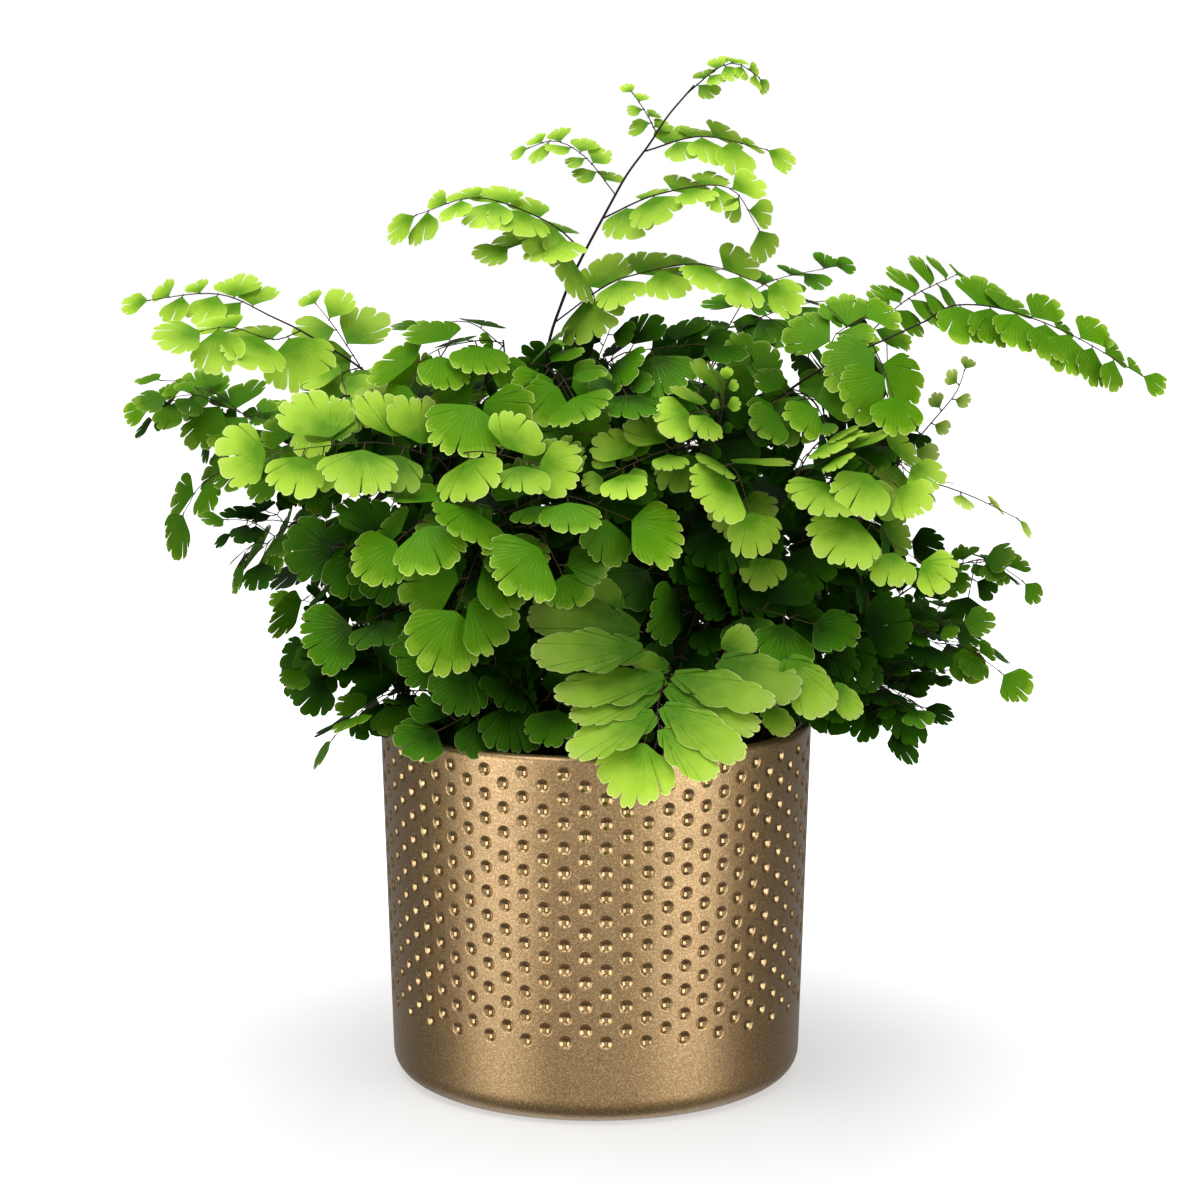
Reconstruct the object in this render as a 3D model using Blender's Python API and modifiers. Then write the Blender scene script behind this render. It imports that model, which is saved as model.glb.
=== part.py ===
"""Maidenhair fern in a dimpled ceramic pot.

Three kinds of solid: the pot, the soil that fills it, and one solid for each
frond (a wiry stem with the leaflets of all its sprays fused to it).
Metres, +Z up.  The origin is the middle of the pot's underside, -Y is the front.
"""
import math
import random

import bmesh
import bpy
from mathutils import Matrix, Vector
from mathutils.bvhtree import BVHTree

MM = 0.001

# --- driving dimensions ---------------------------------------------------
POT_HEIGHT = 108 * MM
RIM_RADIUS = 65 * MM          # outside, just under the lip
BASE_RADIUS = 62 * MM         # outside, at the bottom corner
WALL = 4 * MM
LIP = 2 * MM                  # how far the lip's round reaches down
CORNER = 7 * MM               # radius of the bottom corner
FLOOR = 6 * MM

DIMPLE_COLUMNS = 34           # columns of dimples round the pot
DIMPLE_ROWS = 13              # half-pitch rows in the dimpled band
DIMPLE_BAND = (20 * MM, POT_HEIGHT - 3.5 * MM)
DIMPLE_DEPTH = 1.4 * MM

SOIL_LEVEL = 94 * MM
SOIL_MOUND = 3 * MM
GAP = 0.3 * MM                # between any two separate pieces

STEM_RADIUS = 0.85 * MM       # to the corners of the four-sided stem
STEM_DEPTH = 12 * MM          # how deep a stem stands in the soil
BLADE = 0.6 * MM              # leaflet and rib thickness
RIB_WIDTH = 0.9 * MM
ROOT_WIDTH = 1.0 * MM         # where a leaflet grows from its rib
SAG = 0.22 * MM              # the most a rib's edges cut a bend short
CLEAR = 0.35 * MM             # kept all round each blade when they are laid

SEED = 11

# --- fronds laid one by one -----------------------------------------------
# name: (shade, stem points, sprays), all in millimetres.  A stem's first point
# is its foot on the soil.  A spray is (place on the stem, points its rib runs
# through, side leaflets, leaflet length, way its blades face).  Place 2.5 is
# halfway between the stem's points 2 and 3.
FRONT = (0, -0.75, 0.6)
FRONT_LEFT = (-0.35, -0.7, 0.6)
FRONT_RIGHT = (0.35, -0.7, 0.6)
LEFT = (-0.55, -0.45, 0.7)
RIGHT = (0.55, -0.45, 0.7)
UP = (0, -0.35, 0.95)

FRONDS = {
    "over_rim": ("bright", [(5, -22), (12, -38, 118), (18, -50, 129), (21, -55, 131)], [
        (3, [(19, -64, 129), (17, -72, 123), (17, -79, 116), (11, -84, 103)], 5, 19, FRONT),
        (3, [(33, -66, 131), (48, -76, 127)], 4, 19, FRONT_RIGHT),
        (3, [(7, -62, 138), (-9, -66, 146)], 3, 17, FRONT),
    ]),
    "tall": ("fresh", [(-6, 4), (-14, 3, 140), (-19, 1, 180), (-14, 0, 222), (-8, 0, 238),
                       (-3, -1, 248), (3, 1, 259), (9, 2, 270), (16, 4, 279), (21, 5, 287),
                       (29, 4, 296)], [
        (5, [(-14, -8, 256), (-34, -14, 263), (-52, -16, 258)], 5, 12, FRONT_LEFT),
        (4.6, [(-12, -9, 251), (-25, -18, 249)], 1, 15, FRONT_LEFT),
        (6.6, [(-3, 6, 275), (-12, 9, 280), (-20, 11, 278)], 3, 8, FRONT),
        (6, [(18, -10, 264), (38, -16, 266), (47, -18, 254)], 5, 11, FRONT),
        (8, [(31, 0, 281), (50, -4, 277)], 4, 11, FRONT),
        (8.7, [(15, 9, 288), (11, 11, 294)], 3, 6, FRONT),
        (10, [(36, 3, 301), (42, 2, 302), (48, 2, 298)], 4, 6, FRONT),
        (3.5, [(2, -8, 237), (12, -14, 241), (30, -20, 244), (49, -24, 238)], 5, 14, FRONT_RIGHT),
    ]),
    "crown_mid": ("deep", [(3, -6), (2, -8, 140), (-4, -8, 185), (-3, -8, 210)], [
        (3, [(6, -12, 217), (13, -16, 219), (29, -20, 221)], 4, 15, FRONT),
        (2.6, [(5, -14, 210), (16, -22, 206)], 1, 16, FRONT),
        (3, [(3, -9, 222), (6, -10, 231)], 2, 10, FRONT),
    ]),
    "crown_left": ("deep", [(-9, -5), (-14, -8, 140), (-24, -12, 190), (-27, -15, 222)], [
        (3, [(-34, -20, 222), (-47, -28, 219), (-53, -30, 211)], 4, 16, FRONT_LEFT),
        (3, [(-30, -26, 216), (-34, -34, 206)], 2, 18, FRONT),
        (2.7, [(-15, -22, 215), (-6, -28, 203)], 3, 16, FRONT),
        (3, [(-37, -12, 227), (-50, -10, 226)], 2, 13, UP),
    ]),
    "left_long": ("fresh", [(-13, 1), (-28, -3, 140), (-47, -7, 182), (-58, -8, 204),
                            (-71, -8, 215), (-88, -6, 225), (-97, -4, 229)], [
        (6, [(-108, 0, 234), (-118, 2, 235), (-133, 4, 233)], 5, 12, LEFT),
        (5, [(-94, -14, 222), (-105, -23, 226), (-113, -27, 225)], 3, 17, FRONT_LEFT),
        (4, [(-77, -4, 225), (-83, 0, 232)], 2, 13, FRONT_LEFT),
        (3.4, [(-75, -16, 205), (-80, -22, 198)], 3, 14, FRONT_LEFT),
        (4, [(-74, -15, 212), (-72, -22, 206)], 1, 12, FRONT),
    ]),
    "left_low": ("deep", [(-14, 13), (-38, 22, 135), (-66, 31, 165), (-83, 35, 180)], [
        (3, [(-105, 40, 194), (-125, 45, 201), (-140, 48, 199)], 5, 14, LEFT),
        (3, [(-105, 35, 183), (-122, 35, 176), (-129, 35, 166)], 4, 15, LEFT),
        (2.3, [(-93, 28, 164), (-109, 28, 151)], 4, 15, LEFT),
        (2.8, [(-85, 24, 186), (-93, 20, 191)], 2, 13, FRONT_LEFT),
    ]),
    "front_left": ("bright", [(-9, -14), (-20, -24, 140), (-36, -36, 178), (-45, -40, 190)], [
        (3, [(-59, -44, 194), (-72, -48, 194), (-90, -50, 192)], 4, 18, FRONT_LEFT),
        (3, [(-33, -46, 192), (-18, -48, 189)], 2, 18, FRONT),
    ]),
    "front": ("fresh", [(-2, -17), (-8, -28, 130), (-20, -40, 162), (-27, -46, 176)], [
        (3, [(-41, -52, 178), (-54, -56, 169)], 3, 18, FRONT_LEFT),
        (2.8, [(-32, -56, 166), (-38, -62, 151)], 3, 19, FRONT),
        (2.7, [(-16, -54, 170), (-10, -58, 160)], 2, 17, FRONT),
        (3, [(-10, -50, 180), (8, -52, 174)], 3, 18, FRONT),
    ]),
    "front_mid": ("bright", [(8, -13), (17, -22, 140), (29, -31, 175), (33, -34, 191)], [
        (3, [(28, -38, 193), (20, -42, 192), (12, -44, 189), (3, -46, 185)], 5, 12, FRONT),
        (2.8, [(39, -42, 187), (43, -47, 177)], 2, 17, FRONT_RIGHT),
        (3, [(36, -34, 202), (37, -34, 211)], 2, 4, FRONT),
    ]),
    "right_long": ("fresh", [(14, -3), (25, -6, 140), (38, -9, 180), (45, -10, 198), (59, -12, 209),
                             (70, -14, 216), (82, -15, 221), (97, -16, 228)], [
        (7, [(104, -16, 232), (118, -18, 231), (137, -20, 224), (158, -22, 212)], 8, 12, FRONT_RIGHT),
        (6, [(83, -25, 214), (85, -31, 207)], 3, 15, FRONT_RIGHT),
        (5, [(70, -9, 223), (79, -7, 228)], 3, 13, FRONT),
        (4, [(63, -20, 205), (66, -25, 199)], 3, 13, FRONT),
        (5.5, [(93, 18, 232), (112, 40, 240)], 4, 12, RIGHT),
        (3.5, [(48, -14, 210), (45, -17, 215)], 2, 11, FRONT),
    ]),
    "right_back": ("deep", [(10, 18), (22, 36, 150), (33, 50, 205)], [
        (2, [(46, 64, 222), (66, 72, 230), (83, 76, 231)], 4, 15, UP),
        (1.9, [(42, 66, 222), (54, 78, 236), (78, 86, 242)], 4, 14, FRONT),
    ]),
    "young": ("pale", [(18, -8), (38, -12, 130), (66, -14, 163), (87, -14, 183)], [
        (3, [(96, -14, 195), (105, -14, 206), (108, -12, 213)], 6, 6, FRONT),
        (2.9, [(84, -16, 195), (79, -18, 202)], 3, 6, FRONT),
        (2.6, [(93, -22, 181), (107, -25, 178), (122, -27, 171)], 4, 9, UP),
    ]),
    "right_front": ("bright", [(14, -14), (28, -22, 132), (46, -30, 165), (57, -34, 183)], [
        (3, [(66, -40, 184), (72, -44, 178), (80, -48, 169), (90, -50, 162)], 5, 15, FRONT_RIGHT),
        (3, [(71, -40, 191), (84, -47, 183)], 3, 14, FRONT_RIGHT),
        (3, [(64, -28, 193), (75, -26, 196), (89, -30, 187)], 4, 14, UP),
    ]),
    "right_mid": ("fresh", [(22, 2), (45, 0, 118), (70, -4, 134), (88, -8, 144)], [
        (3, [(96, -10, 150), (106, -12, 155), (116, -12, 157), (126, -14, 151)], 5, 10, RIGHT),
        (2.6, [(93, -14, 136), (104, -18, 131)], 3, 14, RIGHT),
    ]),
    "right_dark": ("deep", [(19, 10), (40, 11, 116), (60, 10, 127), (75, 8, 132)], [
        (3, [(93, 15, 131), (119, 22, 126)], 5, 14, RIGHT),
        (2.5, [(70, 22, 140), (80, 30, 146)], 2, 16, RIGHT),
    ]),
    "right_low": ("deep", [(24, -6), (40, -8, 113), (56, -10, 120), (67, -10, 121)], [
        (3, [(80, -14, 120), (96, -17, 114)], 4, 13, RIGHT),
        (2.8, [(76, -18, 118), (86, -24, 109)], 2, 13, FRONT_RIGHT),
        (2, [(60, -22, 130), (76, -30, 138)], 3, 16, FRONT_RIGHT),
    ]),
    "left_dark": ("deep", [(-20, 6), (-34, 6, 112), (-50, 5, 124), (-60, 5, 128)], [
        (3, [(-72, 10, 134), (-85, 12, 127)], 4, 15, LEFT),
        (2.8, [(-70, 0, 127), (-80, -6, 121)], 3, 14, LEFT),
    ]),
    "left_rim": ("deep", [(-19, -6), (-30, -10, 110), (-42, -14, 117), (-52, -17, 119)], [
        (3, [(-64, -19, 117), (-77, -22, 106)], 4, 13, LEFT),
        (2.8, [(-58, -27, 120), (-66, -36, 116)], 3, 13, FRONT_LEFT),
    ]),
    "low_mid": ("deep", [(-12, -24), (-16, -32, 112), (-20, -38, 121)], [
        (2, [(-28, -46, 121), (-43, -52, 114)], 4, 14, FRONT),
        (1.9, [(-28, -44, 130), (-42, -48, 133)], 3, 15, FRONT),
        (1.7, [(-12, -46, 121), (-4, -52, 118)], 2, 14, FRONT),
    ]),
    "inner_right": ("deep", [(15, -22), (22, -26, 125), (30, -28, 145)], [
        (2, [(42, -26, 156), (62, -22, 162)], 4, 15, FRONT),
        (1.8, [(44, -37, 146), (60, -43, 143)], 4, 15, FRONT_RIGHT),
        (1.9, [(22, -38, 155), (10, -42, 163)], 3, 15, FRONT),
    ]),
    "inner_left": ("deep", [(-24, -14), (-30, -18, 118), (-38, -22, 140), (-42, -24, 152)], [
        (3, [(-56, -28, 162), (-74, -30, 163)], 4, 16, FRONT_LEFT),
        (2.6, [(-54, -34, 146), (-68, -38, 142)], 3, 16, FRONT_LEFT),
        (2.8, [(-34, -34, 158), (-24, -40, 160)], 2, 16, FRONT),
    ]),
    "inner_mid": ("deep", [(2, 7), (8, -4, 130), (14, -14, 168), (16, -18, 182)], [
        (3, [(26, -22, 192), (40, -24, 197)], 3, 15, FRONT),
        (3, [(8, -26, 192), (-4, -32, 196)], 3, 15, FRONT),
        (2.4, [(26, -26, 172), (42, -30, 170)], 3, 16, FRONT),
    ]),
}

# --- fronds laid by rule, behind and among the others -----------------------
# name: (shade, azimuth in degrees from +X, foot radius, reach, height), in mm
ARCHES = {
    "back_1": ("deep", 40, 16, 96, 176),
    "back_2": ("deep", 72, 25, 90, 150),
    "back_3": ("fresh", 88, 14, 84, 212),
    "back_4": ("deep", 112, 24, 98, 160),
    "back_5": ("fresh", 126, 26, 92, 204),
    "back_6": ("fresh", 158, 17, 88, 160),
}

SHADES = {
    "deep": (0.075, 0.170, 0.022),
    "fresh": (0.165, 0.300, 0.035),
    "bright": (0.270, 0.420, 0.050),
    "pale": (0.360, 0.500, 0.110),
}


# --- small helpers ----------------------------------------------------------
def finish(name, color, rough, metal=0.0):
    """A Principled material of the given linear colour."""
    mat = bpy.data.materials.get(name) or bpy.data.materials.new(name)
    mat.use_nodes = True
    shader = mat.node_tree.nodes["Principled BSDF"]
    shader.inputs["Base Color"].default_value = (*color, 1.0)
    shader.inputs["Roughness"].default_value = rough
    shader.inputs["Metallic"].default_value = metal
    mat.diffuse_color = (*color, 1.0)
    return mat


def mesh_object(name, bm, home, material=None):
    """Object made from a bmesh, which is freed."""
    mesh = bpy.data.meshes.new(name)
    bm.to_mesh(mesh)
    bm.free()
    obj = bpy.data.objects.new(name, mesh)
    home.objects.link(obj)
    if material:
        mesh.materials.append(material)
    return obj


def apply_modifiers(obj):
    """Replaces an object's mesh with its evaluated one."""
    bpy.context.view_layer.update()
    graph = bpy.context.evaluated_depsgraph_get()
    old = obj.data
    obj.data = bpy.data.meshes.new_from_object(obj.evaluated_get(graph))
    obj.modifiers.clear()
    bpy.data.meshes.remove(old)


def smooth_path(points, steps):
    """Catmull-Rom curve through the points."""
    ends = [points[0] * 2 - points[1]] + list(points) + [points[-1] * 2 - points[-2]]
    out = []
    for a, b, c, d in zip(ends, ends[1:], ends[2:], ends[3:]):
        for k in range(steps):
            t = k / steps
            out.append(0.5 * ((2 * b) + (c - a) * t + (2 * a - 5 * b + 4 * c - d) * t * t
                              + (3 * b - a - 3 * c + d) * t ** 3))
    return out + [points[-1].copy()]


class Path:
    """A rib's curve, asked for by the distance run along it.  Its blades face
    the given way, as nearly as its own direction lets them."""

    def __init__(self, points, face):
        chord = (points[-1] - points[0]).normalized()
        self.face = (face - chord * face.dot(chord)).normalized()
        self.points = smooth_path(points, 6)
        self.run = [0.0]
        for a, b in zip(self.points, self.points[1:]):
            self.run.append(self.run[-1] + (b - a).length)
        self.length = self.run[-1]

    def at(self, s):
        k = max(i for i, r in enumerate(self.run[:-1]) if r <= max(s, 0.0))
        a, b = self.points[k], self.points[k + 1]
        return a.lerp(b, (s - self.run[k]) / (self.run[k + 1] - self.run[k]))

    def frame(self, s):
        """Heading, the blades' up and the way to the left, at one place."""
        step = 2 * MM
        heading = (self.at(min(s + step, self.length)) - self.at(max(s - step, 0.0))).normalized()
        up = (self.face - heading * self.face.dot(heading)).normalized()
        return heading, up, up.cross(heading)


# --- pot --------------------------------------------------------------------
def wall_radius(z):
    """Outside radius of the pot's gently tapered wall."""
    low = CORNER
    return BASE_RADIUS + (RIM_RADIUS - BASE_RADIUS) * max(0.0, (z - low) / (POT_HEIGHT - low))


def pot_rings():
    """(radius, height, dimple row or None) from the middle of the underside, outside, up, over the
    lip and down the inside to the middle of the floor."""
    rings = []
    for k in range(3):
        a = math.radians(90 * k / 2)
        rings.append((BASE_RADIUS - CORNER + CORNER * math.sin(a), CORNER - CORNER * math.cos(a), None))
    low, high = DIMPLE_BAND
    for row in range(DIMPLE_ROWS + 1):
        z = low + (high - low) * row / DIMPLE_ROWS
        rings.append((wall_radius(z), z, row))
    outer = wall_radius(POT_HEIGHT)
    rings.append((outer - 0.4 * WALL, POT_HEIGHT, None))
    rings.append((outer - WALL, POT_HEIGHT - LIP, None))
    rings.append((BASE_RADIUS - WALL, FLOOR, None))
    return rings


def build_pot(home):
    """Turned pot.  Its wall is a net of triangles in which every third point of
    a row is the bottom of a dimple, and the six points round it are its brim."""
    bm = bmesh.new()
    count = DIMPLE_COLUMNS * 3 // 2
    loops = []
    parity = 0
    for radius, z, row in pot_rings():
        turn = 0
        if row is not None:
            turn = parity = row % 2
        elif loops and radius < RIM_RADIUS and z > DIMPLE_BAND[1]:
            turn = DIMPLE_ROWS % 2
        loop = []
        for k in range(count):
            place = 2 * k + turn
            r = radius
            if row not in (None, 0, DIMPLE_ROWS) and place % 3 == 0:
                r -= DIMPLE_DEPTH
            a = 2 * math.pi * place / (2 * count)
            loop.append(bm.verts.new((r * math.sin(a), -r * math.cos(a), z)))
        loops.append((loop, turn))
    for (low, low_turn), (high, high_turn) in zip(loops, loops[1:]):
        for k in range(count):
            n = (k + 1) % count
            if low_turn < high_turn:
                bm.faces.new((low[k], low[n], high[k]))
                bm.faces.new((low[n], high[n], high[k]))
            elif low_turn > high_turn:
                bm.faces.new((low[k], low[n], high[n]))
                bm.faces.new((low[k], high[n], high[k]))
            else:
                bm.faces.new((low[k], low[n], high[n], high[k]))
    bm.faces.new(list(reversed(loops[0][0])))
    bm.faces.new(loops[-1][0])
    bmesh.ops.recalc_face_normals(bm, faces=bm.faces)
    pot = mesh_object("pot", bm, home, finish("bronze_glaze", (0.42, 0.29, 0.145), 0.34, 0.75))
    pot.data.shade_smooth()
    pot.data.set_sharp_from_angle(angle=math.radians(12))
    return pot


# --- soil -------------------------------------------------------------------
def build_soil(home, cutters, feet):
    """Compost that fills the pot, a little mounded, with a hole for each stem."""
    top = POT_HEIGHT - LIP
    slope = (RIM_RADIUS - BASE_RADIUS) / (top - FLOOR)
    inner = BASE_RADIUS - WALL - GAP * 1.6
    bm = bmesh.new()
    count = 18
    loops = []
    for radius, z in ((inner - 1 * MM, FLOOR + GAP),
                      (inner + slope * (SOIL_LEVEL - FLOOR) - 0.6 * MM, SOIL_LEVEL),
                      (0.5 * inner, SOIL_LEVEL + SOIL_MOUND)):
        loops.append([bm.verts.new((radius * math.cos(2 * math.pi * k / count),
                                    radius * math.sin(2 * math.pi * k / count), z))
                      for k in range(count)])
    for low, high in zip(loops, loops[1:]):
        for k in range(count):
            n = (k + 1) % count
            bm.faces.new((low[k], low[n], high[n], high[k]))
    bm.faces.new(list(reversed(loops[0])))
    bm.faces.new(loops[-1])
    soil = mesh_object("soil", bm, home, finish("compost", (0.018, 0.012, 0.008), 0.95))
    drill = bmesh.new()
    radius = (STEM_RADIUS + GAP) / math.cos(math.pi / 4)
    for x, y in feet:
        bmesh.ops.create_cone(drill, cap_ends=True, segments=4, radius1=radius, radius2=radius,
                              depth=2 * STEM_DEPTH,
                              matrix=Matrix.Translation((x, y, SOIL_LEVEL + SOIL_MOUND - GAP)))
    cutter = mesh_object("stem_holes", drill, cutters)
    cutter.display_type = 'WIRE'
    cutter.hide_render = True
    cut = soil.modifiers.new("stem holes", 'BOOLEAN')
    cut.operation = 'DIFFERENCE'
    cut.object = cutter
    cut.solver = 'EXACT'
    return soil


# --- fronds -----------------------------------------------------------------
def arch_plan(azimuth, foot, reach, height, rng):
    """Stem and sprays of a frond that leans out and lets its sprays droop."""
    def place(angle, radius, z):
        a = math.radians(azimuth + angle)
        return (radius * math.cos(a), radius * math.sin(a), z)

    sway = rng.uniform(-6, 6)
    rise = height - 100
    stem = [place(0, foot, 0)[:2],
            place(sway, foot + 0.16 * (reach - foot), 100 + 0.42 * rise),
            place(sway, foot + 0.36 * (reach - foot), 100 + 0.76 * rise),
            place(sway, foot + 0.58 * (reach - foot), height - 3)]
    face = Vector(place(0, 0.8, 0)) + Vector((0, 0, 0.6))
    sprays = [(3, [place(sway + 3, 0.86 * reach, height + 1), place(sway + 5, 1.08 * reach, height - 9)],
               3, 16, face)]
    for turn, at in ((34, 2.9), (-38, 2.4)):
        turn += rng.uniform(-4, 4) + sway
        drop = rng.uniform(2, 12)
        sprays.append((at, [place(0.6 * turn, 0.74 * reach, height - 2 - drop * 0.3),
                            place(0.9 * turn, 0.98 * reach, height - 8 - drop)], 2, 17, face))
    return stem, sprays


def frond_plans():
    """name -> (shade, stem points, sprays) in metres for every frond."""
    plans = {}
    for name, (shade, stem, sprays) in FRONDS.items():
        plans[name] = (shade, stem, sprays)
    for index, (name, (shade, *shape)) in enumerate(ARCHES.items()):
        plans[name] = (shade, *arch_plan(*shape, random.Random(SEED + index)))
    ready = {}
    for name, (shade, stem, sprays) in plans.items():
        x, y = (c * MM for c in stem[0][:2])
        foot = SOIL_LEVEL + SOIL_MOUND - STEM_DEPTH
        points = [Vector((x, y, foot)), Vector((x, y, SOIL_LEVEL + SOIL_MOUND + 1.5 * MM))]
        points += [Vector(p) * MM for p in stem[1:]]
        ready[name] = (shade, points, sprays)
    return ready


def stem_place(points, at, back):
    """Point inside a stem, that far back from a place on it; place 0 is its
    foot at the soil's surface."""
    at += 1
    k = min(int(at), len(points) - 2)
    return points[k].lerp(points[k + 1], at - k) - (points[k + 1] - points[k]).normalized() * back


def ring_solid(sections):
    """Vertices and faces of a closed tube through rings of equal count."""
    n = len(sections[0])
    verts = [v for ring in sections for v in ring]
    faces = [tuple(reversed(range(n))), tuple(range(len(verts) - n, len(verts)))]
    for r in range(len(sections) - 1):
        for k in range(n):
            m = (k + 1) % n
            faces.append((r * n + k, r * n + m, r * n + n + m, r * n + n + k))
    return verts, faces


class Crowd:
    """The solids already laid, each with its box, to keep new ones clear of."""

    def __init__(self):
        self.items = []

    def add(self, verts, faces, owner):
        low = Vector((min(v[i] for v in verts) for i in range(3)))
        high = Vector((max(v[i] for v in verts) for i in range(3)))
        self.items.append((low, high, BVHTree.FromPolygons(verts, faces), owner))

    def hits(self, verts, faces, skip=()):
        low = Vector((min(v[i] for v in verts) for i in range(3)))
        high = Vector((max(v[i] for v in verts) for i in range(3)))
        tree = None
        for lo, hi, other, owner in self.items:
            if owner in skip or any(lo[i] > high[i] or hi[i] < low[i] for i in range(3)):
                continue
            tree = tree or BVHTree.FromPolygons(verts, faces)
            if other.overlap(tree):
                return True
        return False


def rod(points, radius):
    """Plain square rod through the points, for keeping clear of it."""
    rings = []
    for k, p in enumerate(points):
        along = (points[min(k + 1, len(points) - 1)] - points[max(k - 1, 0)]).normalized()
        side = along.orthogonal().normalized()
        up = along.cross(side)
        rings.append([p + radius * (side * c + up * s) for c, s in ((1, 0), (0, 1), (-1, 0), (0, -1))])
    return ring_solid(rings)


def fan_outline(points, side, lean, rng):
    """Outer margin of a fan-shaped leaflet one unit long, (along, across), with
    shallow lobes.  The edge that faces the rib's tip stays clear of the rib."""
    half = math.radians({4: 52, 5: 64, 8: 70}[points])
    fore = min(half, math.radians(76) - lean)
    low, high = {0: (-half, half), 1: (-fore, half), -1: (-half, fore)}[side]
    notched = {4: (), 5: (2,), 8: (2, 5)}[points]
    out = []
    for k in range(points):
        t = 2 * k / (points - 1) - 1
        angle = low + (high - low) * (t + 1) / 2
        radius = (1.0 - 0.20 * t * t) * (1 - 0.12 * side * t) * rng.uniform(0.96, 1.04)
        if k in notched:
            radius *= 0.66
        out.append((radius * math.cos(angle), radius * math.sin(angle)))
    return out


def blade_solid(root, axis, normal, outline, start):
    """Closed solid of a leaflet with its clearance, from a little past its root."""
    across = normal.cross(axis)
    rim = [root + axis * u + across * v for u, v in outline]
    near = [root + axis * start + across * s * (ROOT_WIDTH / 2 + start / 4) for s in (-1, 1)]
    flat = list(reversed(near)) + rim
    lift = normal * (BLADE / 2 + CLEAR)
    n = len(flat)
    verts = [p - lift for p in flat] + [p + lift for p in flat]
    faces = [tuple(reversed(range(n))), tuple(range(n, 2 * n))]
    faces += [(k, (k + 1) % n, n + (k + 1) % n, n + k) for k in range(n)]
    return verts, faces


def leaflet_points(length):
    """How many points the margin gets: the larger a leaflet, the more lobes."""
    return 8 if length > 17 * MM else 5 if length > 9 * MM else 4


def lay_rib(crowd, own, start, points, face):
    """A spray's rib, raised or lowered until it clears the other fronds."""
    for shift in ((0, 0, 0), (0, 0, 3), (0, 0, -3), (0, -3, 2), (0, 3, 2), (0, 0, 6), (0, 0, -6),
                  (4, -4, 4), (-4, -4, 4), (4, 4, -4), (-4, 4, -4)):
        bent = [p + Vector(shift) * MM * min(1.0, (k + 1) / 2) for k, p in enumerate(points)]
        path = Path([start] + bent, face)
        solid = rod([path.at(path.length * k / 8) for k in range(9)], RIB_WIDTH / 2 + CLEAR)
        if not crowd.hits(*solid, skip=own):
            crowd.add(*solid, path)
            return path
    return None


def lay_leaflet(crowd, name, path, s, side, length, rng):
    """Turns, tips and shortens a leaflet until it clears all that is laid."""
    heading, up, across = path.frame(s)
    across = across * side
    lean = math.radians(10 + 16 * s / path.length)
    base = (across * math.cos(lean) + heading * math.sin(lean)) if side else heading
    root = path.at(s) + across * RIB_WIDTH / 2
    points = leaflet_points(length)
    first = (rng.uniform(-16, 16), rng.uniform(-22, 12))
    outline = fan_outline(points, side, lean, rng)
    for scale in (1.0, 0.86, 0.72, 0.6):
        for roll, pitch in (first, (0, 0), (-22, -12), (22, -12), (0, 20), (0, -28), (-32, 0), (32, 0),
                            (-24, 20), (24, 20)):
            axis = (Matrix.Rotation(math.radians(pitch) * -1, 3, up.cross(base)) @ base).normalized()
            normal = (up - axis * up.dot(axis)).normalized()
            normal = Matrix.Rotation(math.radians(roll), 3, axis) @ normal
            shape = [(u * length * scale, v * length * scale) for u, v in outline]
            solid = blade_solid(root, axis, normal, shape, 0.4 * MM)
            beyond = blade_solid(root, axis, normal, shape, 1.5 * MM)
            if not crowd.hits(*solid, skip=(path,)) and not crowd.hits(*beyond):
                crowd.add(*solid, name)
                return dict(s=s, side=side, root=root, axis=axis, normal=normal, shape=shape)
    return None


def lay_fronds(plans, obstacles):
    """Lays every rib, then every leaflet, clear of one another."""
    crowd = Crowd()
    for obj in obstacles:
        bm = bmesh.new()
        bm.from_mesh(obj.data)
        crowd.add([v.co.copy() for v in bm.verts], [[v.index for v in f.verts] for f in bm.faces], "")
        bm.free()
    for name, (shade, stem, sprays) in plans.items():
        crowd.add(*rod(stem, STEM_RADIUS + CLEAR), name)
    laid = {name: [] for name in plans}
    for name, (shade, stem, sprays) in plans.items():
        for index, (place, points, count, length, face) in enumerate(sprays):
            own = [name] + [ready[0] for ready in laid[name]]
            start = stem_place(stem, place, (1.0 + 0.4 * index) * MM)
            path = lay_rib(crowd, own, start, [Vector(p) * MM for p in points], Vector(face))
            if path:
                laid[name].append((path, count, length * MM, []))
    rng = random.Random(SEED)
    for name, sprays in laid.items():
        for path, count, length, leaflets in sprays:
            side = rng.choice((-1, 1))
            bare = 0.22 * path.length
            for k in range(count + 1):
                last = k == count
                s = path.length if last else bare + (path.length - bare) * (k + 0.4) / (count + 0.4)
                side = 0 if last else -side
                size = length * (1.08 - 0.28 * s / path.length) * rng.uniform(0.92, 1.08)
                leaf = lay_leaflet(crowd, name, path, s, side, size, rng)
                if leaf:
                    leaflets.append(leaf)
    return laid


def follow_curve(path, marks, make):
    """Adds points to one edge of a rib where the rib bends between two marks."""
    k = 0
    while k < len(marks) - 1:
        a, b = marks[k][0], marks[k + 1][0]
        sag = max((path.at(a + (b - a) * t) - path.at(a).lerp(path.at(b), t)).length
                  for t in (0.25, 0.5, 0.75))
        if sag > SAG:
            marks.insert(k + 1, ((a + b) / 2, make((a + b) / 2)))
        else:
            k += 1


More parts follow.
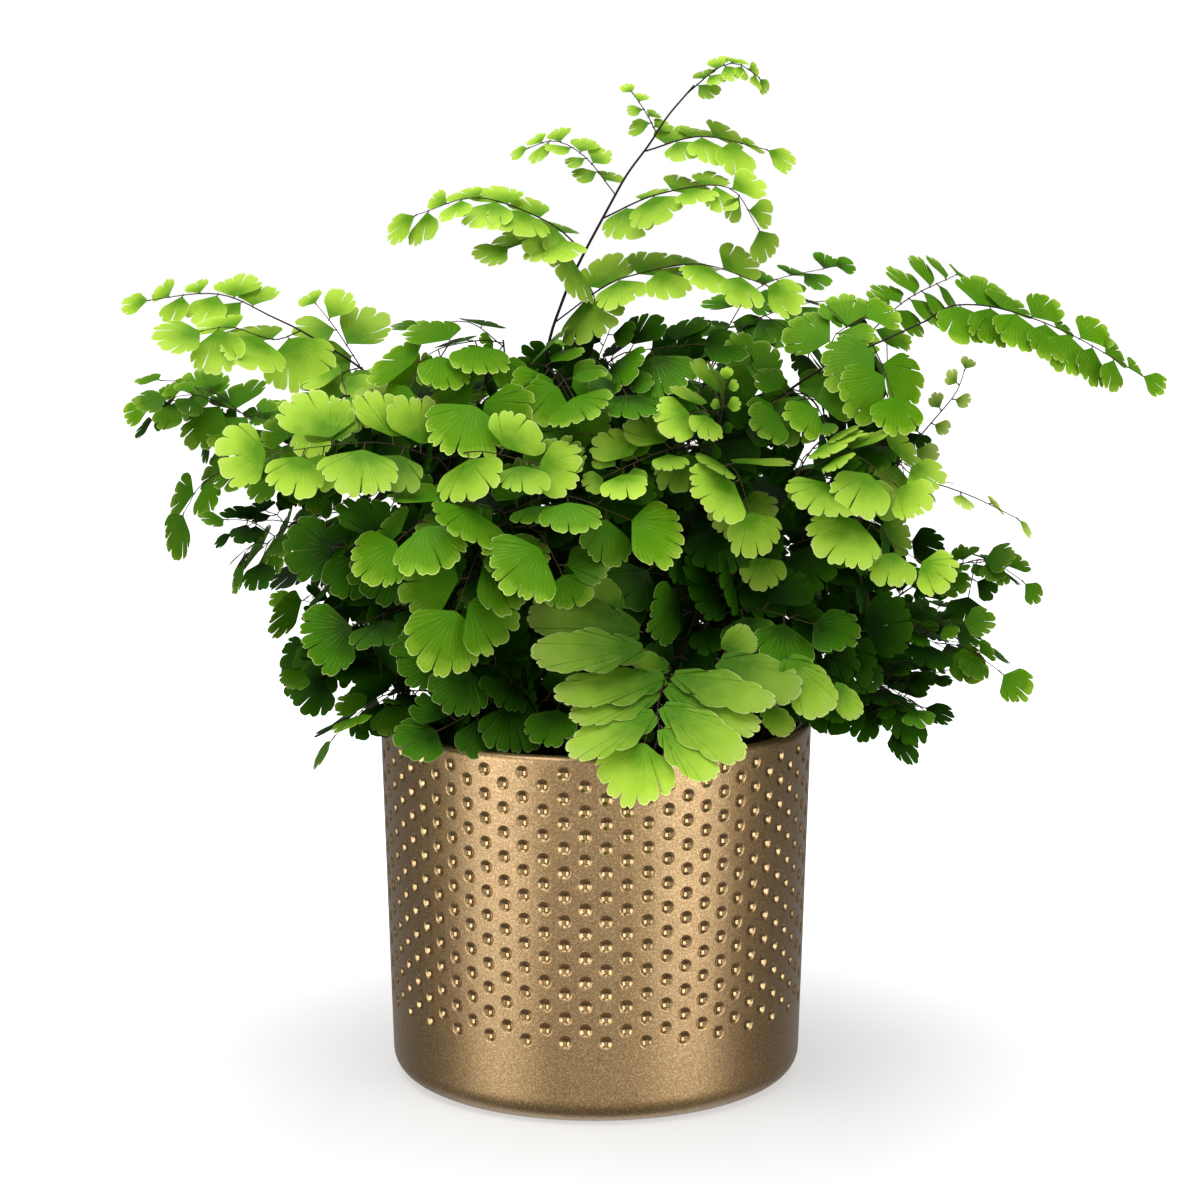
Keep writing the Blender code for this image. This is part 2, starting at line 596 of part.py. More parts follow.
def spray_sheet(path, leaflets):
    """Open surface of a spray: its rib, with each leaflet growing from an edge
    of it."""
    bm = bmesh.new()
    edges = {1: [], -1: []}
    roots = {}

    def rim_point(s, side):
        heading, up, left = path.frame(s)
        return bm.verts.new(path.at(s) + left * side * RIB_WIDTH / 2)

    for side in (1, -1):
        edges[side].append((0.0, rim_point(0.0, side)))
        for leaf in (item for item in leaflets if item["side"] == side):
            pair = [rim_point(leaf["s"] + d * ROOT_WIDTH / 2, side) for d in (-1, 1)]
            edges[side] += [(leaf["s"] - ROOT_WIDTH / 2, pair[0]), (leaf["s"] + ROOT_WIDTH / 2, pair[1])]
            roots[id(leaf)] = pair
        edges[side].append((path.length, rim_point(path.length, side)))
    for side in (1, -1):
        follow_curve(path, edges[side], lambda s, way=side: rim_point(s, way))
    left, right = edges[1], edges[-1]
    i = j = 0
    while i < len(left) - 1 or j < len(right) - 1:
        if j == len(right) - 1 or (i < len(left) - 1 and left[i + 1][0] <= right[j + 1][0]):
            bm.faces.new((left[i][1], left[i + 1][1], right[j][1]))
            i += 1
        else:
            bm.faces.new((left[i][1], right[j + 1][1], right[j][1]))
            j += 1
    for leaf in leaflets:
        a, b = roots.get(id(leaf)) or (right[-1][1], left[-1][1])
        across = leaf["normal"].cross(leaf["axis"])
        rim = [bm.verts.new(leaf["root"] + leaf["axis"] * u + across * v) for u, v in leaf["shape"]]
        if (b.co - a.co).dot(across) < 0:
            a, b = b, a
        mid = len(rim) // 2
        bm.faces.new((a, b, rim[mid]))
        for k in range(mid):
            bm.faces.new((a, rim[k], rim[k + 1]))
        for k in range(mid, len(rim) - 1):
            bm.faces.new((b, rim[k], rim[k + 1]))
    bmesh.ops.recalc_face_normals(bm, faces=bm.faces)
    return bm


def build_stem(name, points, home, material):
    """Wiry stem, a four-sided tube."""
    curve = bpy.data.curves.new(name, 'CURVE')
    curve.dimensions = '3D'
    curve.bevel_depth = STEM_RADIUS
    curve.bevel_resolution = 0
    curve.use_fill_caps = True
    line = curve.splines.new('POLY')
    line.points.add(len(points) - 1)
    for k, p in enumerate(points):
        line.points[k].co = (*p, 1.0)
        line.points[k].radius = 1.0 - 0.15 * k / len(points)
    tube = bpy.data.objects.new(name + "_curve", curve)
    home.objects.link(tube)
    bpy.context.view_layer.update()
    mesh = bpy.data.meshes.new_from_object(tube.evaluated_get(bpy.context.evaluated_depsgraph_get()))
    obj = bpy.data.objects.new(name, mesh)
    obj.matrix_world = tube.matrix_world
    home.objects.link(obj)
    bpy.data.objects.remove(tube)
    bpy.data.curves.remove(curve)
    bm = bmesh.new()
    bm.from_mesh(mesh)
    bmesh.ops.remove_doubles(bm, verts=bm.verts, dist=0.00001)
    bmesh.ops.recalc_face_normals(bm, faces=bm.faces)
    bm.to_mesh(mesh)
    bm.free()
    mesh.materials.clear()
    mesh.materials.append(material)
    return obj


def build_frond(name, shade, stem, sprays, home, cutters):
    """One frond: its stem, joined with each spray's solid."""
    material = finish("frond_" + shade, SHADES[shade], 0.55)
    frond = build_stem("frond_" + name, stem, home, material)
    group = bpy.data.collections.new(name + "_sprays")
    cutters.children.link(group)
    for path, _, _, leaflets in sprays:
        spray = mesh_object(name + "_spray", spray_sheet(path, leaflets), group, material)
        solid = spray.modifiers.new("blade", 'SOLIDIFY')
        solid.thickness = BLADE
        solid.offset = 0.0
        apply_modifiers(spray)
    join = frond.modifiers.new("sprays", 'BOOLEAN')
    join.operation = 'UNION'
    join.operand_type = 'COLLECTION'
    join.collection = group
    join.solver = 'MANIFOLD'
    apply_modifiers(frond)
    for spray in list(group.objects):
        bpy.data.objects.remove(spray)
    bpy.data.collections.remove(group)
    return frond


def main():
    for obj in list(bpy.data.objects):
        bpy.data.objects.remove(obj)
    home = bpy.data.collections.new("potted_maidenhair_fern")
    cutters = bpy.data.collections.new("cutters")
    bpy.context.scene.collection.children.link(home)
    bpy.context.scene.collection.children.link(cutters)
    plans = frond_plans()
    pot = build_pot(home)
    soil = build_soil(home, cutters, [stem[0].xy for shade, stem, sprays in plans.values()])
    laid = lay_fronds(plans, (pot, soil))
    for name, (shade, stem, _) in plans.items():
        build_frond(name, shade, stem, laid[name], home, cutters)


main()
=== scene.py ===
import math
import random

import bpy
import numpy as np
from bpy.props import (FloatProperty, FloatVectorProperty, IntProperty, PointerProperty)
from mathutils import Matrix, Vector, kdtree, noise
from mathutils.bvhtree import BVHTree


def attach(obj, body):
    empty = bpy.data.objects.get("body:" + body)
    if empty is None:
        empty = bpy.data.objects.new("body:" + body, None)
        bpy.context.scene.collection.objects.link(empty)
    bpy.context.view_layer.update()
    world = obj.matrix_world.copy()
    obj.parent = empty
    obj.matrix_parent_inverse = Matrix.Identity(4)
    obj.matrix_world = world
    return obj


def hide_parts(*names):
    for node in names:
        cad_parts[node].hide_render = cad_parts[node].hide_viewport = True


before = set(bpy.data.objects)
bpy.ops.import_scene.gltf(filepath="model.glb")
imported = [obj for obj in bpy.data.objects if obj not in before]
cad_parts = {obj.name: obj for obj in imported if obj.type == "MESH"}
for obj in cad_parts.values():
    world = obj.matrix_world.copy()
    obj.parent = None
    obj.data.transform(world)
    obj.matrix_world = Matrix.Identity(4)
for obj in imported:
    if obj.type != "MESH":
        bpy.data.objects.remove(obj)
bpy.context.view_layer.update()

bl_info = {
    "name": "Potted maidenhair fern",
    "version": (1, 0, 0),
    "blender": (4, 5, 0),
    "location": "3D View > Sidebar > Fern",
    "description": "Maidenhair fern with fan-shaped leaflets in a dimpled, glazed pot",
    "category": "Add Mesh",
}

MM = 0.001

# --- sizes shared with the solids -------------------------------------------
POT_HEIGHT = 108 * MM
RIM_RADIUS = 65 * MM
BASE_RADIUS = 62 * MM
WALL = 4 * MM
LIP = 2 * MM
CORNER = 7 * MM
DIMPLE_COLUMNS = 34           # columns of the solid's own, coarser dimples
SOIL_LEVEL = 94 * MM
SOIL_MOUND = 3 * MM
STEM_RADIUS = 0.85 * MM
STEM_DEPTH = 12 * MM
BLADE = 0.6 * MM
RIB_WIDTH = 0.9 * MM
ROOT_WIDTH = 1.0 * MM
CLEAR = 0.35 * MM
SEED = 11

# --- fronds laid one by one -----------------------------------------------
# name: (shade, stem points, sprays), all in millimetres.  A stem's first point
# is its foot on the soil.  A spray is (place on the stem, points its rib runs
# through, side leaflets, leaflet length, way its blades face).  Place 2.5 is
# halfway between the stem's points 2 and 3.
FRONT = (0, -0.75, 0.6)
FRONT_LEFT = (-0.35, -0.7, 0.6)
FRONT_RIGHT = (0.35, -0.7, 0.6)
LEFT = (-0.55, -0.45, 0.7)
RIGHT = (0.55, -0.45, 0.7)
UP = (0, -0.35, 0.95)

FRONDS = {
    "over_rim": ("bright", [(5, -22), (12, -38, 118), (18, -50, 129), (21, -55, 131)], [
        (3, [(19, -64, 129), (17, -72, 123), (17, -79, 116), (11, -84, 103)], 5, 19, FRONT),
        (3, [(33, -66, 131), (48, -76, 127)], 4, 19, FRONT_RIGHT),
        (3, [(7, -62, 138), (-9, -66, 146)], 3, 17, FRONT),
    ]),
    "tall": ("fresh", [(-6, 4), (-14, 3, 140), (-19, 1, 180), (-14, 0, 222), (-8, 0, 238),
                       (-3, -1, 248), (3, 1, 259), (9, 2, 270), (16, 4, 279), (21, 5, 287),
                       (29, 4, 296)], [
        (5, [(-14, -8, 256), (-34, -14, 263), (-52, -16, 258)], 5, 12, FRONT_LEFT),
        (4.6, [(-12, -9, 251), (-25, -18, 249)], 1, 15, FRONT_LEFT),
        (6.6, [(-3, 6, 275), (-12, 9, 280), (-20, 11, 278)], 3, 8, FRONT),
        (6, [(18, -10, 264), (38, -16, 266), (47, -18, 254)], 5, 11, FRONT),
        (8, [(31, 0, 281), (50, -4, 277)], 4, 11, FRONT),
        (8.7, [(15, 9, 288), (11, 11, 294)], 3, 6, FRONT),
        (10, [(36, 3, 301), (42, 2, 302), (48, 2, 298)], 4, 6, FRONT),
        (3.5, [(2, -8, 237), (12, -14, 241), (30, -20, 244), (49, -24, 238)], 5, 14, FRONT_RIGHT),
    ]),
    "crown_mid": ("deep", [(3, -6), (2, -8, 140), (-4, -8, 185), (-3, -8, 210)], [
        (3, [(6, -12, 217), (13, -16, 219), (29, -20, 221)], 4, 15, FRONT),
        (2.6, [(5, -14, 210), (16, -22, 206)], 1, 16, FRONT),
        (3, [(3, -9, 222), (6, -10, 231)], 2, 10, FRONT),
    ]),
    "crown_left": ("deep", [(-9, -5), (-14, -8, 140), (-24, -12, 190), (-27, -15, 222)], [
        (3, [(-34, -20, 222), (-47, -28, 219), (-53, -30, 211)], 4, 16, FRONT_LEFT),
        (3, [(-30, -26, 216), (-34, -34, 206)], 2, 18, FRONT),
        (2.7, [(-15, -22, 215), (-6, -28, 203)], 3, 16, FRONT),
        (3, [(-37, -12, 227), (-50, -10, 226)], 2, 13, UP),
    ]),
    "left_long": ("fresh", [(-13, 1), (-28, -3, 140), (-47, -7, 182), (-58, -8, 204),
                            (-71, -8, 215), (-88, -6, 225), (-97, -4, 229)], [
        (6, [(-108, 0, 234), (-118, 2, 235), (-133, 4, 233)], 5, 12, LEFT),
        (5, [(-94, -14, 222), (-105, -23, 226), (-113, -27, 225)], 3, 17, FRONT_LEFT),
        (4, [(-77, -4, 225), (-83, 0, 232)], 2, 13, FRONT_LEFT),
        (3.4, [(-75, -16, 205), (-80, -22, 198)], 3, 14, FRONT_LEFT),
        (4, [(-74, -15, 212), (-72, -22, 206)], 1, 12, FRONT),
    ]),
    "left_low": ("deep", [(-14, 13), (-38, 22, 135), (-66, 31, 165), (-83, 35, 180)], [
        (3, [(-105, 40, 194), (-125, 45, 201), (-140, 48, 199)], 5, 14, LEFT),
        (3, [(-105, 35, 183), (-122, 35, 176), (-129, 35, 166)], 4, 15, LEFT),
        (2.3, [(-93, 28, 164), (-109, 28, 151)], 4, 15, LEFT),
        (2.8, [(-85, 24, 186), (-93, 20, 191)], 2, 13, FRONT_LEFT),
    ]),
    "front_left": ("bright", [(-9, -14), (-20, -24, 140), (-36, -36, 178), (-45, -40, 190)], [
        (3, [(-59, -44, 194), (-72, -48, 194), (-90, -50, 192)], 4, 18, FRONT_LEFT),
        (3, [(-33, -46, 192), (-18, -48, 189)], 2, 18, FRONT),
    ]),
    "front": ("fresh", [(-2, -17), (-8, -28, 130), (-20, -40, 162), (-27, -46, 176)], [
        (3, [(-41, -52, 178), (-54, -56, 169)], 3, 18, FRONT_LEFT),
        (2.8, [(-32, -56, 166), (-38, -62, 151)], 3, 19, FRONT),
        (2.7, [(-16, -54, 170), (-10, -58, 160)], 2, 17, FRONT),
        (3, [(-10, -50, 180), (8, -52, 174)], 3, 18, FRONT),
    ]),
    "front_mid": ("bright", [(8, -13), (17, -22, 140), (29, -31, 175), (33, -34, 191)], [
        (3, [(28, -38, 193), (20, -42, 192), (12, -44, 189), (3, -46, 185)], 5, 12, FRONT),
        (2.8, [(39, -42, 187), (43, -47, 177)], 2, 17, FRONT_RIGHT),
        (3, [(36, -34, 202), (37, -34, 211)], 2, 4, FRONT),
    ]),
    "right_long": ("fresh", [(14, -3), (25, -6, 140), (38, -9, 180), (45, -10, 198), (59, -12, 209),
                             (70, -14, 216), (82, -15, 221), (97, -16, 228)], [
        (7, [(104, -16, 232), (118, -18, 231), (137, -20, 224), (158, -22, 212)], 8, 12,
         FRONT_RIGHT),
        (6, [(83, -25, 214), (85, -31, 207)], 3, 15, FRONT_RIGHT),
        (5, [(70, -9, 223), (79, -7, 228)], 3, 13, FRONT),
        (4, [(63, -20, 205), (66, -25, 199)], 3, 13, FRONT),
        (5.5, [(93, 18, 232), (112, 40, 240)], 4, 12, RIGHT),
        (3.5, [(48, -14, 210), (45, -17, 215)], 2, 11, FRONT),
    ]),
    "right_back": ("deep", [(10, 18), (22, 36, 150), (33, 50, 205)], [
        (2, [(46, 64, 222), (66, 72, 230), (83, 76, 231)], 4, 15, UP),
        (1.9, [(42, 66, 222), (54, 78, 236), (78, 86, 242)], 4, 14, FRONT),
    ]),
    "young": ("pale", [(18, -8), (38, -12, 130), (66, -14, 163), (87, -14, 183)], [
        (3, [(96, -14, 195), (105, -14, 206), (108, -12, 213)], 6, 6, FRONT),
        (2.9, [(84, -16, 195), (79, -18, 202)], 3, 6, FRONT),
        (2.6, [(93, -22, 181), (107, -25, 178), (122, -27, 171)], 4, 9, UP),
    ]),
    "right_front": ("bright", [(14, -14), (28, -22, 132), (46, -30, 165), (57, -34, 183)], [
        (3, [(66, -40, 184), (72, -44, 178), (80, -48, 169), (90, -50, 162)], 5, 15, FRONT_RIGHT),
        (3, [(71, -40, 191), (84, -47, 183)], 3, 14, FRONT_RIGHT),
        (3, [(64, -28, 193), (75, -26, 196), (89, -30, 187)], 4, 14, UP),
    ]),
    "right_mid": ("fresh", [(22, 2), (45, 0, 118), (70, -4, 134), (88, -8, 144)], [
        (3, [(96, -10, 150), (106, -12, 155), (116, -12, 157), (126, -14, 151)], 5, 10, RIGHT),
        (2.6, [(93, -14, 136), (104, -18, 131)], 3, 14, RIGHT),
    ]),
    "right_dark": ("deep", [(19, 10), (40, 11, 116), (60, 10, 127), (75, 8, 132)], [
        (3, [(93, 15, 131), (119, 22, 126)], 5, 14, RIGHT),
        (2.5, [(70, 22, 140), (80, 30, 146)], 2, 16, RIGHT),
    ]),
    "right_low": ("deep", [(24, -6), (40, -8, 113), (56, -10, 120), (67, -10, 121)], [
        (3, [(80, -14, 120), (96, -17, 114)], 4, 13, RIGHT),
        (2.8, [(76, -18, 118), (86, -24, 109)], 2, 13, FRONT_RIGHT),
        (2, [(60, -22, 130), (76, -30, 138)], 3, 16, FRONT_RIGHT),
    ]),
    "left_dark": ("deep", [(-20, 6), (-34, 6, 112), (-50, 5, 124), (-60, 5, 128)], [
        (3, [(-72, 10, 134), (-85, 12, 127)], 4, 15, LEFT),
        (2.8, [(-70, 0, 127), (-80, -6, 121)], 3, 14, LEFT),
    ]),
    "left_rim": ("deep", [(-19, -6), (-30, -10, 110), (-42, -14, 117), (-52, -17, 119)], [
        (3, [(-64, -19, 117), (-77, -22, 106)], 4, 13, LEFT),
        (2.8, [(-58, -27, 120), (-66, -36, 116)], 3, 13, FRONT_LEFT),
    ]),
    "low_mid": ("deep", [(-12, -24), (-16, -32, 112), (-20, -38, 121)], [
        (2, [(-28, -46, 121), (-43, -52, 114)], 4, 14, FRONT),
        (1.9, [(-28, -44, 130), (-42, -48, 133)], 3, 15, FRONT),
        (1.7, [(-12, -46, 121), (-4, -52, 118)], 2, 14, FRONT),
    ]),
    "inner_right": ("deep", [(15, -22), (22, -26, 125), (30, -28, 145)], [
        (2, [(42, -26, 156), (62, -22, 162)], 4, 15, FRONT),
        (1.8, [(44, -37, 146), (60, -43, 143)], 4, 15, FRONT_RIGHT),
        (1.9, [(22, -38, 155), (10, -42, 163)], 3, 15, FRONT),
    ]),
    "inner_left": ("deep", [(-24, -14), (-30, -18, 118), (-38, -22, 140), (-42, -24, 152)], [
        (3, [(-56, -28, 162), (-74, -30, 163)], 4, 16, FRONT_LEFT),
        (2.6, [(-54, -34, 146), (-68, -38, 142)], 3, 16, FRONT_LEFT),
        (2.8, [(-34, -34, 158), (-24, -40, 160)], 2, 16, FRONT),
    ]),
    "inner_mid": ("deep", [(2, 7), (8, -4, 130), (14, -14, 168), (16, -18, 182)], [
        (3, [(26, -22, 192), (40, -24, 197)], 3, 15, FRONT),
        (3, [(8, -26, 192), (-4, -32, 196)], 3, 15, FRONT),
        (2.4, [(26, -26, 172), (42, -30, 170)], 3, 16, FRONT),
    ]),
}

# --- fronds laid by rule, behind and among the others -----------------------
# name: (shade, azimuth in degrees from +X, foot radius, reach, height), in mm
ARCHES = {
    "back_1": ("deep", 40, 16, 96, 176),
    "back_2": ("deep", 72, 25, 90, 150),
    "back_3": ("fresh", 88, 14, 84, 212),
    "back_4": ("deep", 112, 24, 98, 160),
    "back_5": ("fresh", 126, 26, 92, 204),
    "back_6": ("fresh", 158, 17, 88, 160),
}

# --- laying the fronds ------------------------------------------------------
def smooth_path(points, steps):
    """Catmull-Rom curve through the points."""
    ends = [points[0] * 2 - points[1]] + list(points) + [points[-1] * 2 - points[-2]]
    out = []
    for a, b, c, d in zip(ends, ends[1:], ends[2:], ends[3:]):
        for k in range(steps):
            t = k / steps
            out.append(0.5 * ((2 * b) + (c - a) * t + (2 * a - 5 * b + 4 * c - d) * t * t
                              + (3 * b - a - 3 * c + d) * t ** 3))
    return out + [points[-1].copy()]


class Path:
    """A rib's curve, asked for by the distance run along it.  Its blades face
    the given way, as nearly as its own direction lets them."""

    def __init__(self, points, face):
        chord = (points[-1] - points[0]).normalized()
        self.face = (face - chord * face.dot(chord)).normalized()
        self.points = smooth_path(points, 6)
        self.run = [0.0]
        for a, b in zip(self.points, self.points[1:]):
            self.run.append(self.run[-1] + (b - a).length)
        self.length = self.run[-1]

    def at(self, s):
        k = max(i for i, r in enumerate(self.run[:-1]) if r <= max(s, 0.0))
        a, b = self.points[k], self.points[k + 1]
        return a.lerp(b, (s - self.run[k]) / (self.run[k + 1] - self.run[k]))

    def frame(self, s):
        """Heading, the blades' up and the way to the left, at one place."""
        step = 2 * MM
        heading = (self.at(min(s + step, self.length)) - self.at(max(s - step, 0.0))).normalized()
        up = (self.face - heading * self.face.dot(heading)).normalized()
        return heading, up, up.cross(heading)


def arch_plan(azimuth, foot, reach, height, rng):
    """Stem and sprays of a frond that leans out and lets its sprays droop."""
    def place(angle, radius, z):
        a = math.radians(azimuth + angle)
        return (radius * math.cos(a), radius * math.sin(a), z)

    sway = rng.uniform(-6, 6)
    rise = height - 100
    stem = [place(0, foot, 0)[:2],
            place(sway, foot + 0.16 * (reach - foot), 100 + 0.42 * rise),
            place(sway, foot + 0.36 * (reach - foot), 100 + 0.76 * rise),
            place(sway, foot + 0.58 * (reach - foot), height - 3)]
    face = Vector(place(0, 0.8, 0)) + Vector((0, 0, 0.6))
    sprays = [(3, [place(sway + 3, 0.86 * reach, height + 1),
                   place(sway + 5, 1.08 * reach, height - 9)],
               3, 16, face)]
    for turn, at in ((34, 2.9), (-38, 2.4)):
        turn += rng.uniform(-4, 4) + sway
        drop = rng.uniform(2, 12)
        sprays.append((at, [place(0.6 * turn, 0.74 * reach, height - 2 - drop * 0.3),
                            place(0.9 * turn, 0.98 * reach, height - 8 - drop)], 2, 17, face))
    return stem, sprays


def frond_plans():
    """name -> (shade, stem points, sprays) in metres for every frond."""
    plans = dict(FRONDS)
    for index, (name, (shade, *shape)) in enumerate(ARCHES.items()):
        plans[name] = (shade, *arch_plan(*shape, random.Random(SEED + index)))
    ready = {}
    for name, (shade, stem, sprays) in plans.items():
        x, y = (c * MM for c in stem[0][:2])
        foot = SOIL_LEVEL + SOIL_MOUND - STEM_DEPTH
        points = [Vector((x, y, foot)), Vector((x, y, SOIL_LEVEL + SOIL_MOUND + 1.5 * MM))]
        points += [Vector(p) * MM for p in stem[1:]]
        ready[name] = (shade, points, sprays)
    return ready


def stem_place(points, at, back):
    """Point inside a stem, that far back from a place on it; place 0 is its
    foot at the soil's surface."""
    at += 1
    k = min(int(at), len(points) - 2)
    return points[k].lerp(points[k + 1], at - k) - (points[k + 1] - points[k]).normalized() * back


def ring_solid(sections):
    """Vertices and faces of a closed tube through rings of equal count."""
    n = len(sections[0])
    verts = [v for ring in sections for v in ring]
    faces = [tuple(reversed(range(n))), tuple(range(len(verts) - n, len(verts)))]
    for r in range(len(sections) - 1):
        for k in range(n):
            m = (k + 1) % n
            faces.append((r * n + k, r * n + m, r * n + n + m, r * n + n + k))
    return verts, faces


class Crowd:
    """The solids already laid, each with its box, to keep new ones clear of."""

    def __init__(self):
        self.trees, self.owners, self.count = [], [], 0
        self.low, self.high = np.zeros((8000, 3)), np.zeros((8000, 3))

    def put(self, k, verts, faces):
        points = np.array([tuple(v) for v in verts])
        self.low[k], self.high[k] = points.min(0), points.max(0)
        self.trees[k] = BVHTree.FromPolygons(verts, faces)

    def add(self, verts, faces, owner):
        self.trees.append(None)
        self.owners.append(owner)
        self.put(self.count, verts, faces)
        self.count += 1

    def drop(self, k):
        """Takes a solid out of the way."""
        self.low[k] = self.high[k] = 9.0

    def hits(self, verts, faces, skip=()):
        points = np.array([tuple(v) for v in verts])
        low, high = self.low[:self.count], self.high[:self.count]
        close = ((low <= points.max(0)) & (high >= points.min(0))).all(1).nonzero()[0]
        tree = None
        for k in close:
            if self.owners[k] in skip:
                continue
            tree = tree or BVHTree.FromPolygons(verts, faces)
            if self.trees[k].overlap(tree):
                return True
        return False


def rod(points, radius):
    """Plain square rod through the points, for keeping clear of it."""
    rings = []
    for k, p in enumerate(points):
        along = (points[min(k + 1, len(points) - 1)] - points[max(k - 1, 0)]).normalized()
        side = along.orthogonal().normalized()
        up = along.cross(side)
        rings.append([p + radius * (side * c + up * s) for c,
                      s in ((1, 0), (0, 1), (-1, 0), (0, -1))])
    return ring_solid(rings)


def fan_outline(points, side, lean, rng):
    """Outer margin of a fan-shaped leaflet one unit long, (along, across), with
    shallow lobes.  The edge that faces the rib's tip stays clear of the rib."""
    half = math.radians({4: 52, 5: 64, 8: 70}[points])
    fore = min(half, math.radians(76) - lean)
    low, high = {0: (-half, half), 1: (-fore, half), -1: (-half, fore)}[side]
    notched = {4: (), 5: (2,), 8: (2, 5)}[points]
    out = []
    for k in range(points):
        t = 2 * k / (points - 1) - 1
        angle = low + (high - low) * (t + 1) / 2
        radius = (1.0 - 0.20 * t * t) * (1 - 0.12 * side * t) * rng.uniform(0.96, 1.04)
        if k in notched:
            radius *= 0.66
        out.append((radius * math.cos(angle), radius * math.sin(angle)))
    return out


def blade_solid(root, axis, normal, outline, start, lift):
    """Closed solid of a leaflet with its clearance, from a little past its root."""
    across = normal.cross(axis)
    rim = [root + axis * u + across * v for u, v in outline]
    near = [root + axis * start + across * s * (ROOT_WIDTH / 2 + start / 4) for s in (-1, 1)]
    flat = list(reversed(near)) + rim
    lift = normal * lift
    n = len(flat)
    verts = [p - lift for p in flat] + [p + lift for p in flat]
    faces = [tuple(reversed(range(n))), tuple(range(n, 2 * n))]
    faces += [(k, (k + 1) % n, n + (k + 1) % n, n + k) for k in range(n)]
    return verts, faces


def leaflet_points(length):
    """How many points the margin gets: the larger a leaflet, the more lobes."""
    return 8 if length > 17 * MM else 5 if length > 9 * MM else 4


def lay_rib(crowd, own, start, points, face):
    """A spray's rib, raised or lowered until it clears the other fronds."""
    for shift in ((0, 0, 0), (0, 0, 3), (0, 0, -3), (0, -3, 2), (0, 3, 2), (0, 0, 6), (0, 0, -6),
                  (4, -4, 4), (-4, -4, 4), (4, 4, -4), (-4, 4, -4)):
        bent = [p + Vector(shift) * MM * min(1.0, (k + 1) / 2) for k, p in enumerate(points)]
        path = Path([start] + bent, face)
        solid = rod([path.at(path.length * k / 8) for k in range(9)], RIB_WIDTH / 2 + CLEAR)
        if not crowd.hits(*solid, skip=own):
            crowd.add(*solid, path)
            return path
    return None


def lay_leaflet(crowd, name, path, s, side, length, rng, scales=(1.0, 0.86, 0.72, 0.6),
                lift=BLADE / 2 + CLEAR):
    """Turns, tips and shortens a leaflet until it clears all that is laid."""
    heading, up, across = path.frame(s)
    across = across * side
    lean = math.radians(10 + 16 * s / path.length)
    base = (across * math.cos(lean) + heading * math.sin(lean)) if side else heading
    root = path.at(s) + across * RIB_WIDTH / 2
    points = leaflet_points(length)
    first = (rng.uniform(-16, 16), rng.uniform(-22, 12))
    outline = fan_outline(points, side, lean, rng)
    for scale in scales:
        for roll, pitch in (first, (0, 0), (-22, -12), (22, -12), (0, 20), (0, -28), (-32, 0),
                            (32, 0),
                            (-24, 20), (24, 20)):
            axis = (Matrix.Rotation(math.radians(pitch) * -1, 3,
                                    up.cross(base)) @ base).normalized()
            normal = (up - axis * up.dot(axis)).normalized()
            normal = Matrix.Rotation(math.radians(roll), 3, axis) @ normal
            shape = [(u * length * scale, v * length * scale) for u, v in outline]
            solid = blade_solid(root, axis, normal, shape, 0.4 * MM, lift)
            beyond = blade_solid(root, axis, normal, shape, 1.5 * MM, lift)
            if not crowd.hits(*solid, skip=(path,)) and not crowd.hits(*beyond):
                crowd.add(*solid, name)
                return dict(s=s, side=side, root=root, axis=axis, normal=normal, shape=shape,
                            item=crowd.count - 1)
    return None


def lay_fronds(plans, obstacles):
    """Lays every rib, then every leaflet, clear of one another."""
    crowd = Crowd()
    for obj in obstacles:
        mesh = obj.data
        crowd.add([v.co.copy() for v in mesh.vertices], [list(f.vertices) for f in mesh.polygons],
                  "")
    for name, (_, stem, _) in plans.items():
        crowd.add(*rod(stem, STEM_RADIUS + CLEAR), name)
    laid = {name: [] for name in plans}
    for name, (_, stem, sprays) in plans.items():
        for index, (place, points, count, length, face) in enumerate(sprays):
            own = [name] + [ready[0] for ready in laid[name]]
            start = stem_place(stem, place, (1.0 + 0.4 * index) * MM)
            path = lay_rib(crowd, own, start, [Vector(p) * MM for p in points], Vector(face))
            if path:
                laid[name].append((path, count, length * MM, []))
    rng = random.Random(SEED)
    for name, sprays in laid.items():
        for path, count, length, leaflets in sprays:
            side = rng.choice((-1, 1))
            bare = 0.22 * path.length
            for k in range(count + 1):
                last = k == count
                s = path.length if last else bare + (path.length - bare) * (k + 0.4) / (count + 0.4)
                side = 0 if last else -side
                size = length * (1.08 - 0.28 * s / path.length) * rng.uniform(0.92, 1.08)
                leaf = lay_leaflet(crowd, name, path, s, side, size, rng)
                if leaf:
                    leaflets.append(leaf)
    return crowd, laid


# The leaf finish of the fronds that show another than their solid's plain colour.
LOOKS = {"tall": "bright", "left_long": "bright", "crown_left": "fresh", "left_low": "fresh",
         "left_dark": "fresh", "left_rim": "fresh"}
